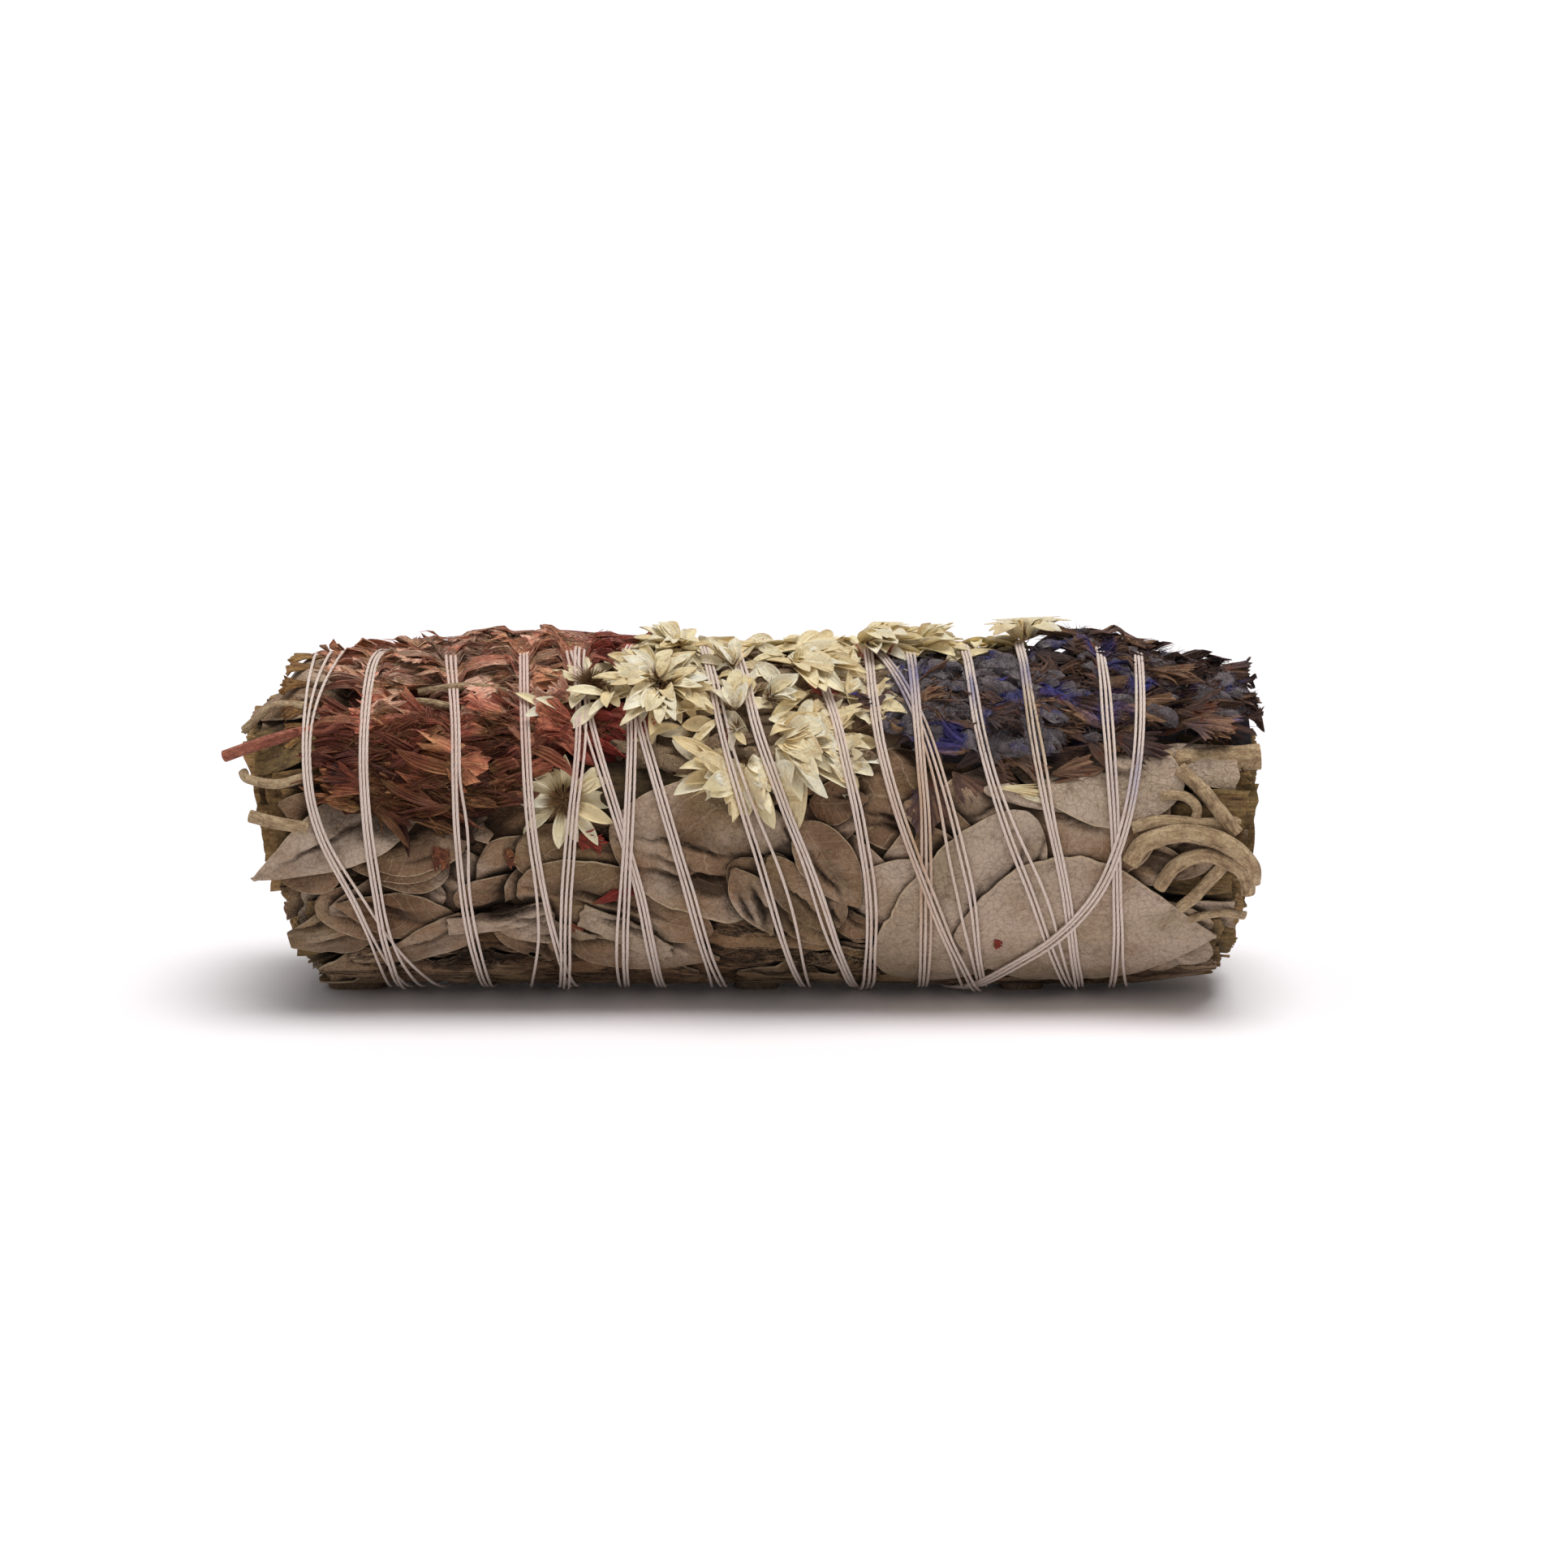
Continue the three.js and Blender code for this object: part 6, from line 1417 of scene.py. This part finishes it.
# Wool, and brown fans with fringes, ribbons and cups. woolly is 1 for mostly wool, 0 for none.
def blueFlowers(name, seed, woolly):
    spray, draw = sprays[name], np.random.default_rng(seed)
    parts = [bedPart(spray, seed, 1.6)]
    count = int(blueSpray["lumps"] * woolly)
    x, angle, heading = scatter(spray, count, draw, 0.2, 40)
    along, across, out = surfaceFrame(angle, heading)
    size = draw.uniform(0.4, 1.0, count)
    root = rooted(x, angle, draw.uniform(0.0, 1.1, count))
    parts.append(woolLumps(root, along, across, out, size, draw.uniform(0, 1, count), seed, stretch=draw.uniform(1.0, 2.6, count)))
    parts.append(woolFibres(root, along, across, out, size, int(blueSpray["wool"] * woolly), draw))
    parts.append(dict(lyingFibres(spray, int(blueSpray["hairs"] * (1.2 - woolly)), draw), material=1))
    rest = 1.35 - 0.75 * woolly
    for kind in ("fans", "ribbons", "cups"):
        count = int(blueSpray[kind] * rest)
        x, angle, heading = scatter(spray, count, draw, 0.5, 18, 0.65)
        if woolly > 0.6:
            angle = spray["low"](x) + 2 + (angle - spray["low"](x)) * 0.55  # brushes lie below the wool
        along, across, out = surfaceFrame(angle, heading)
        depth, tone = draw.uniform(0.1, 1.5, count), draw.uniform(0, 1, count)
        # painted shade: deeper brushes darker
        root, shade, rise = rooted(x, angle, depth), 0.5 * ramp(0.6, 1.5, depth), draw.uniform(0, 0.3, count)
        if kind == "fans":
            length, opening = draw.uniform(3.2, 6.0, count), np.radians(draw.uniform(24, 66, count))
            made = fans(root, along, across, out, length, opening, 7, rise=rise, arch=draw.uniform(-0.4, 0.15, count),
                        cup=draw.uniform(-0.15, 0.2, count), teeth=0.3, tone=tone, shade=shade, seed=seed + 1)
            # fringes on the rims
            pick = np.repeat(np.arange(count), 22)
            phi = draw.uniform(-0.5, 0.5, len(pick)) * opening[pick]
            aim = along[pick] * np.cos(phi)[:, None] + across[pick] * np.sin(phi)[:, None] + (rise[pick] * 0.6 + draw.normal(0, 0.12, len(pick)))[:, None] * out[pick]
            aim /= np.linalg.norm(aim, axis=1, keepdims=True)
            start = keepPressed(root[pick] + aim * (length[pick] * draw.uniform(0.55, 0.85, len(pick)))[:, None])
            fringe = hairs(start, aim, draw.uniform(0.6, 1.7, len(pick)), 0.06, tone=tone[pick] * 0.5 + draw.uniform(0, 0.5, len(pick)))
            fringe["points"] = keepPressed(fringe["points"], 2.2)
            parts.append(dict(fringe, material=1))
        elif kind == "ribbons":
            made = blades(root, along, across, out, draw.uniform(3, 6.5, count), draw.uniform(0.9, 2.0, count), rows=8, columns=7, rise=rise,
                          arch=draw.uniform(-0.9, 0.3, count), cup=draw.uniform(-0.5, 0.5, count), pleat=0.28, pleats=draw.uniform(2, 3, count), blunt=0.4,
                          twist=draw.normal(0, 1.0, count), sway=draw.normal(0, 1.6, count), tone=tone, shade=shade, ragged=0.2, seed=seed + 3)
        else:
            made = cups(root, along, across, out, draw.uniform(3.5, 5.5, count), draw.uniform(1.6, 2.6, count), rise=rise, lobes=5,
                        arch=draw.uniform(-0.4, 0.3, count), teeth=0.25, tone=tone, shade=shade, seed=seed + 5)
        parts.append(dict(made, material=1))
    makePiece(camel(name), parts, [materials["blue"], materials["brush"]], [name])


blueFlowers("blue_spray_left", 37, 1.0)
blueFlowers("blue_spray_right", 41, 0.4)
print("set the blue flowers")

bloom = {"length": 4.8, "width": 1.3, "seat": 1.1}


# A flower head: whorls of cupped bracts round a heart of short fibres, fanned to either side of
# its heading. Outer whorls lie flatter and longer, inner ones stand up; a star has one whorl.
def bloomParts(head, seed):
    draw = np.random.default_rng(seed)
    count, star, over = head["bracts"], head.get("star", 0), head.get("over", 0)
    fan = math.radians(180 * head["open"] + 14)
    whorl = np.arange(count) % 4 * (0.75 - 0.6 * star)
    turn = fan * (2 * (np.arange(count) * 0.618 % 1) - 1) + draw.normal(0, 0.1, count)
    if star:
        turn = 2 * np.pi * np.arange(count) / count + draw.normal(0, 0.12, count)
    along, across, out = surfaceFrame(head["angle"], head["heading"])
    direction = along * np.cos(turn)[:, None] + across * np.sin(turn)[:, None]
    centre = rooted(head["x"], head["angle"], bloom["seat"] - 1.0 * over)
    root = centre + direction * draw.uniform(0.2 + 0.7 * star, 0.9 + 0.5 * star, (count, 1)) + out * (0.34 * whorl)[:, None] + along * (draw.uniform(-0.8, 0.4, (count, 1)) * (1 - star))
    length = bloom["length"] * head["scale"] * (1 - 0.16 * whorl - 0.2 * star) * draw.uniform(0.8, 1.15, count)
    width = bloom["width"] * head["scale"] * draw.uniform(0.75, 1.3, count)
    rise = 0.06 + 0.27 * whorl + draw.uniform(0, 0.2, count) + head.get("rise", 0)
    # painted shade up to 0.16 on the outer whorls, less on the inner ones
    parts = [blades(root, direction, np.cross(out, direction), out * np.ones((count, 1)), length, width, rows=10, columns=7, thickness=0.12, rise=rise,
                    arch=draw.uniform(-0.7, 0.0, count), cup=draw.uniform(0.3, 0.8, count), twist=draw.normal(0, 0.4, count), sway=draw.normal(0, 0.5, count),
                    fullest=draw.uniform(0.8, 1.2, count), blunt=0.62, tone=draw.uniform(0.05, 1, count), shade=draw.uniform(0, 0.16, count) * (3 - whorl) / 3, seed=seed, press=None if over else 1.8)]
    hairCount = 190 if star else 30
    spin, lean = draw.uniform(0, 6.28, hairCount), draw.uniform(0.1, 1.3 + 3 * star, hairCount)
    aim = (along * np.cos(spin)[:, None] + across * np.sin(spin)[:, None]) * lean[:, None] + out
    aim /= np.linalg.norm(aim, axis=1, keepdims=True)
    heart = hairs(centre + aim * 0.5 + out * 0.3 * star, aim, draw.uniform(0.8, 2.2 if star else 1.4, hairCount), 0.06, tone=draw.uniform(0, 1, hairCount))
    heart["points"] = keepPressed(heart["points"], None if over else 1.8)
    parts.append(dict(heart, material=1))
    return parts


for k, head in enumerate(blooms):
    heads = [head] + [{**head, **more} for more in head.get("extra", [])]
    made = sum((bloomParts(each, 300 + k + 20 * n) for n, each in enumerate(heads)), [])
    makePiece(camel(head["node"]), made, [materials["cream"], materials["heart"]], [head["node"]])

# Between the heads: a felted mat of stems and leaf bits, woolly stems lying along the bundle, and
# loose bracts crowded over it, rather more of them along the crest.
mat = {"x": (-14.2, 15.6), "low": lambda x: 22 + 6 * ramp(-6, 2, x), "high": lambda x: 112 + 0 * x, "stems": 80, "wool": 1500, "bracts": 225, "flakes": 16}


def feltedMat(seed):
    draw = np.random.default_rng(seed)
    count = mat["stems"]
    x, angle, heading = scatter(mat, count, draw, 2.0, 10, 0.5, 14)
    along, across, out = surfaceFrame(angle, heading)
    size = draw.uniform(0.5, 0.95, count)
    root = rooted(x, angle, draw.uniform(0.2, 1.1, count))
    parts = [bedPart(mat, seed, 1.1, 0.1), woolLumps(root, along, across, out, size, draw.uniform(0, 1, count), seed, 0.9, draw.uniform(2.0, 4.2, count))]
    parts.append(woolFibres(root, along, across, out, size, mat["wool"], draw, (0.25, 0.7)))
    makePiece("feltedMat", parts, [materials["felt"]])


def looseBracts(seed):
    draw = np.random.default_rng(seed)
    count = mat["bracts"]
    crest = np.arange(count) % 5 < 2
    x = np.where(crest, draw.uniform(-8, 29, count), draw.uniform(-14, 13, count))
    angle = np.where(crest, draw.uniform(88, 112, count), draw.uniform(36, 100, count))
    along, across, out = surfaceFrame(angle, draw.choice([0, 180], count) + draw.normal(0, 38, count))
    depth = draw.uniform(-0.1, 1.2, count)
    # painted shade: deeper bracts darker
    parts = [blades(rooted(x, angle, depth), along, across, out, draw.uniform(3, 5.2, count), draw.uniform(1.1, 1.9, count), rows=9, columns=7,
                    rise=draw.uniform(0, 0.5, count), arch=draw.uniform(-0.8, 0.1, count), cup=draw.uniform(0.25, 0.7, count), twist=draw.normal(0, 0.5, count), blunt=0.62,
                    sway=draw.normal(0, 0.5, count), fullest=1.1, tone=draw.uniform(0.0, 1, count), shade=0.3 * ramp(0.4, 1.2, depth), seed=seed, press=1.4)]
    count = mat["flakes"]
    x, angle, heading = scatter(mat, count, draw, 1.5, 60)
    along, across, out = surfaceFrame(angle, heading)
    flakes = fans(rooted(x, angle, draw.uniform(-0.2, 0.6, count)), along, across, out, draw.uniform(1.2, 2.6, count), np.radians(draw.uniform(50, 110, count)), 4,
                  rise=draw.uniform(0.1, 0.6, count), tone=draw.uniform(0.4, 0.9, count), seed=seed + 1)
    parts.append(dict(flakes, material=1))
    makePiece("looseBracts", parts, [materials["cream"], materials["red"]])


feltedMat(501)
looseBracts(503)
print("set the cream flowers")

# Bits that fell off the flowers and lie on the leaves: x, angle, heading, length, opening, finish.
looseBits = [
    (-31.2, -5, 0, 1.3, 170, "red"), (-29.4, -5, 180, 1.3, 170, "red"), (-24.0, -5.5, 20, 1.2, 150, "red"), (-17.2, 3, -20, 2.2, 70, "red"), (-16.2, 1, -10, 2.2, 60, "red"),
    (-15.6, -23, 24, 3.4, 26, "red"), (-13.2, -19, 10, 2.4, 30, "red"), (-17.6, -31, -60, 1.8, 40, "red"), (25.0, -41, 0, 0.9, 150, "red"),
    (24.2, 20, -4, 5.4, 16, "cream"), (30.0, 14, 150, 3.0, 30, "cream"), (19.5, 22, -130, 4.2, 60, "brush"), (18.0, 24, -80, 5.2, 70, "brush"), (20.6, 26, -50, 4.0, 60, "brush"),
    (-42.6, 52, 188, 5.0, 44, "heart"), (-43.4, 63, 182, 5.4, 40, "heart"), (-43.0, 75, 176, 5.2, 44, "heart"), (-42.4, 86, 184, 5.0, 50, "heart"), (-42.0, 44, 200, 4.4, 40, "heart"),
    (24.0, 26, -10, 3.0, 60, "brush"), (36.0, 27, 190, 4.5, 50, "brush"), (30.5, 25, 10, 4.0, 50, "brush"),
]


def scatterBits(seed):
    x, angle, heading, length, opening = (np.array([bit[k] for bit in looseBits], float) for k in range(5))
    finishes = ["red", "cream", "brush", "heart"]
    along, across, out = surfaceFrame(angle, heading)
    seat = np.maximum(readMap("roof", x, angle), bindRadius(x, angle) - 0.6) + 0.05
    parts = []
    for k, finish in enumerate(finishes):
        pick = np.array([bit[5] == finish for bit in looseBits])
        made = fans(place(x, angle, seat)[pick], along[pick], across[pick], out[pick], length[pick], np.radians(opening[pick]), 5, rise=0.16, arch=-0.2,
                    fold=0.4, teeth=0.25, tone=np.linspace(0.25, 0.7, pick.sum()), seed=seed + k)
        parts.append(dict(made, material=k))
    makePiece("looseFlowerBits", parts, [materials[finish] for finish in finishes])


scatterBits(521)

# Flat leaf stalks that curl at the right end, beside the two round ones: points as for a stalk.
bands = [
    {"radius": 0.95, "flat": 0.4, "points": [[38.4, -7, 0.2], [40, 1, -0.3], [43.9, 4.5, -0.7], [48.0, 1, -0.8], [50.4, -7, -0.3], [50.6, -15, 0.3]]},
    {"radius": 0.6, "flat": 0.5, "points": [[38.6, 6, 0.2], [41.5, 8.5, -0.3], [45.6, 7.5, -0.2], [49.5, 8, 0.6]]},
    {"radius": 0.5, "flat": 0.6, "points": [[41.5, 17, 0.4], [43.6, 17, -0.2], [45.0, 13, -0.5], [44.8, 8, -0.1]]},
    {"radius": 0.7, "flat": 0.5, "points": [[48.6, -4, 0.1], [46.6, -12, -0.1], [44.8, -20, 0.0], [43.6, -26, 0.6]]},
    {"radius": 0.5, "flat": 0.6, "points": [[44.5, -31, 0.5], [47.4, -26, -0.3], [50.2, -29, 0.2]]},
    {"radius": 0.62, "flat": 0.5, "points": [[-43.5, 6, 0.4], [-47.0, 8, -0.1], [-49.4, 10, 0.4]]},
    {"radius": 0.5, "flat": 0.6, "points": [[-43.5, 24, 0.6], [-46.5, 21, -0.3], [-49.6, 24, -0.2], [-50.4, 29, 0.8]]},
    {"radius": 0.5, "flat": 0.6, "points": [[-44.2, 51, 0.2], [-47.5, 54, -0.4], [-50.6, 50, 0.5]]},
]
makePiece("petioleBands", [stalkPart(band["points"], band["radius"], sides=12, steps=10, seed=130 + k, flat=band["flat"], tone=0.8) for k, band in enumerate(bands)],
          [materials["stalk"]])
print("laid the loose bits")


# The colour that each bit of thread has taken up, by its place on the bundle.
threadDyes = [
    {"x": -25, "spread": 13, "angle": 60, "around": 45, "colour": (238, 200, 188), "amount": 0.55},
    {"x": 17, "spread": 4, "angle": 0, "around": 60, "colour": (204, 166, 126), "amount": 0.55},
    {"x": 30, "spread": 5, "angle": 45, "around": 26, "colour": (208, 180, 134), "amount": 0.5},
    {"x": 17, "spread": 3, "angle": 62, "around": 14, "colour": (70, 84, 170), "amount": 0.55},
    {"x": 23, "spread": 2.5, "angle": 58, "around": 8, "colour": (60, 76, 170), "amount": 0.7},
    {"x": 29, "spread": 2.5, "angle": 66, "around": 8, "colour": (60, 76, 170), "amount": 0.5},
    {"x": 39, "spread": 2, "angle": 22, "around": 10, "colour": (90, 100, 180), "amount": 0.5},
]
threadColour = (242, 226, 215)


# Three strands through all turns: at each sample a ring of the thread's radius on the string's
# surface, lifted where it crosses what was wound before.
def threadParts():
    parts = []
    sides, samples = string["sides"], string["samples"]
    angle = np.tile(strandAngles, len(string["turns"]))
    for k in range(3):
        x = strandXs[:, k].ravel()
        r = bindRadius(x, angle) + strandLifts[k] + 0.04 * lattice(np.arange(len(x)) / 5, k, 21)
        path = place(x, angle, r)
        tangent = np.gradient(path, axis=0)
        tangent /= np.linalg.norm(tangent, axis=1, keepdims=True)
        up = np.stack([0 * x, -np.cos(np.radians(angle)), np.sin(np.radians(angle))], -1)
        across = np.cross(tangent, up)
        across /= np.linalg.norm(across, axis=1, keepdims=True)
        up = np.cross(across, tangent)
        turn = np.radians(np.arange(sides) * 360 / sides)
        radius = string["radius"] * (1 + 0.07 * lattice(np.arange(len(x)) / 2.5, k + 4, 22))[:, None, None]
        rings = path[:, None] + radius * (np.cos(turn)[None, :, None] * across[:, None] + np.sin(turn)[None, :, None] * up[:, None])
        rings[..., 2] = np.maximum(rings[..., 2], 0.01)
        colour = np.tile(np.array(paint(*threadColour)), (len(x), 1))
        folded = np.where(angle < -180, angle + 360, angle)
        for dye in threadDyes:
            strength = dye["amount"] * swell(dye["x"], dye["spread"] * 1.6, x) * swell(dye["angle"], dye["around"] * 1.6, folded)
            strength = np.clip(strength * (1 + 0.7 * lattice(np.arange(len(x)) / 6, k + 8, 23)), 0, 1)[:, None]
            colour = colour * (1 - strength) + np.array(paint(*dye["colour"])) * strength
        parts.append(tubePart(rings[None], np.broadcast_to(colour[:, None], (len(x), sides, 4))[None]))
    return parts


# The knot: a few turns of thread round each other with loose tails.
def knotParts():
    parts = []
    t = np.linspace(0, 1, 90)
    turn = np.radians(np.arange(8) * 45)
    centre = rooted(-41.7, 116.0, 0.1)
    for k in range(3):
        a = 2 * np.pi * t * 2 + k * 2.1
        path = centre + np.stack([0.95 * np.cos(a) * (0.7 + 0.3 * np.cos(3 * a)), 0.8 * np.sin(a), 0.55 * np.sin(1.5 * a + k) + 0.1], -1)
        parts.append(loosePart(path, string["radius"]))
    parts.append(loosePart(rooted(np.linspace(-42, -46.4, 40), 116 + 12 * np.linspace(0, 1, 40) ** 2, -0.25), string["radius"]))
    parts.append(loosePart(rooted(np.linspace(-41.8, -37.8, 30), 116 + 9 * np.linspace(0, 1, 30), -0.3), string["radius"]))
    return parts


# A tube of even radius along any path of points.
def loosePart(path, radius):
    tangent = np.gradient(path, axis=0)
    tangent /= np.linalg.norm(tangent, axis=1, keepdims=True)
    across = np.cross(tangent, [0.12, 0.31, 0.94])
    across /= np.linalg.norm(across, axis=1, keepdims=True)
    up = np.cross(across, tangent)
    turn = np.radians(np.arange(8) * 45)
    rings = path[:, None] + radius * (np.cos(turn)[None, :, None] * across[:, None] + np.sin(turn)[None, :, None] * up[:, None])
    return tubePart(rings[None], np.broadcast_to(np.array(paint(*threadColour)), (1, len(path), 8, 4)))


makePiece("bindingThreads", threadParts() + knotParts(), [materials["cotton"]], ["binding_string"])
print("wound the string")

# The floor, the light and the camera
stage = {"floor": (254, 250, 252), "world": 0.34, "sun": 2.55, "soft": 42, "from": (0.12, -0.04, 1.0), "elevation": 11.0, "distance": 0.5365, "lens": 120}


def makeStage():
    mesh = bpy.data.meshes.new("floor")
    mesh.from_pydata([(-4, -3, 0), (4, -3, 0), (4, 6, 0), (-4, 6, 0)], [], [(0, 1, 2, 3)])
    floor = bpy.data.objects.new("floor", mesh)
    material, tree, shader = newMaterial("pale_floor", 0.6, specular=0.2)
    shader.inputs["Base Color"].default_value = paint(*stage["floor"])
    mesh.materials.append(material)
    bpy.context.scene.collection.objects.link(floor)
    floor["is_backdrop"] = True
    world = bpy.data.worlds.new("studio")
    world.use_nodes = True
    world.node_tree.nodes["Background"].inputs[0].default_value = (1, 1, 1, 1)
    world.node_tree.nodes["Background"].inputs[1].default_value = stage["world"]
    bpy.context.scene.world = world
    lamp = bpy.data.lights.new("soft_top_light", "SUN")
    lamp.energy = stage["sun"]
    lamp.angle = math.radians(stage["soft"])
    light = bpy.data.objects.new("soft_top_light", lamp)
    light.rotation_euler = Vector(stage["from"]).to_track_quat("Z", "Y").to_euler()
    bpy.context.scene.collection.objects.link(light)
    camera = bpy.data.objects.new("camera", bpy.data.cameras.new("camera"))
    aim = Vector((0.0039, 0.0, 0.0212))
    tilt = math.radians(stage["elevation"])
    camera.location = aim + stage["distance"] * Vector((0, -math.cos(tilt), math.sin(tilt)))
    camera.rotation_euler = (aim - camera.location).to_track_quat("-Z", "Y").to_euler()
    camera.data.lens = stage["lens"]
    camera.data.sensor_width = 36
    camera.data.clip_start = 0.01
    bpy.context.scene.collection.objects.link(camera)
    bpy.context.scene.camera = camera
    bpy.context.scene.view_settings.view_transform = "Standard"


makeStage()
triangles = sum(sum(len(face.vertices) - 2 for face in o.data.polygons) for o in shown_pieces() if o.type == "MESH")
print("triangles shown:", triangles)
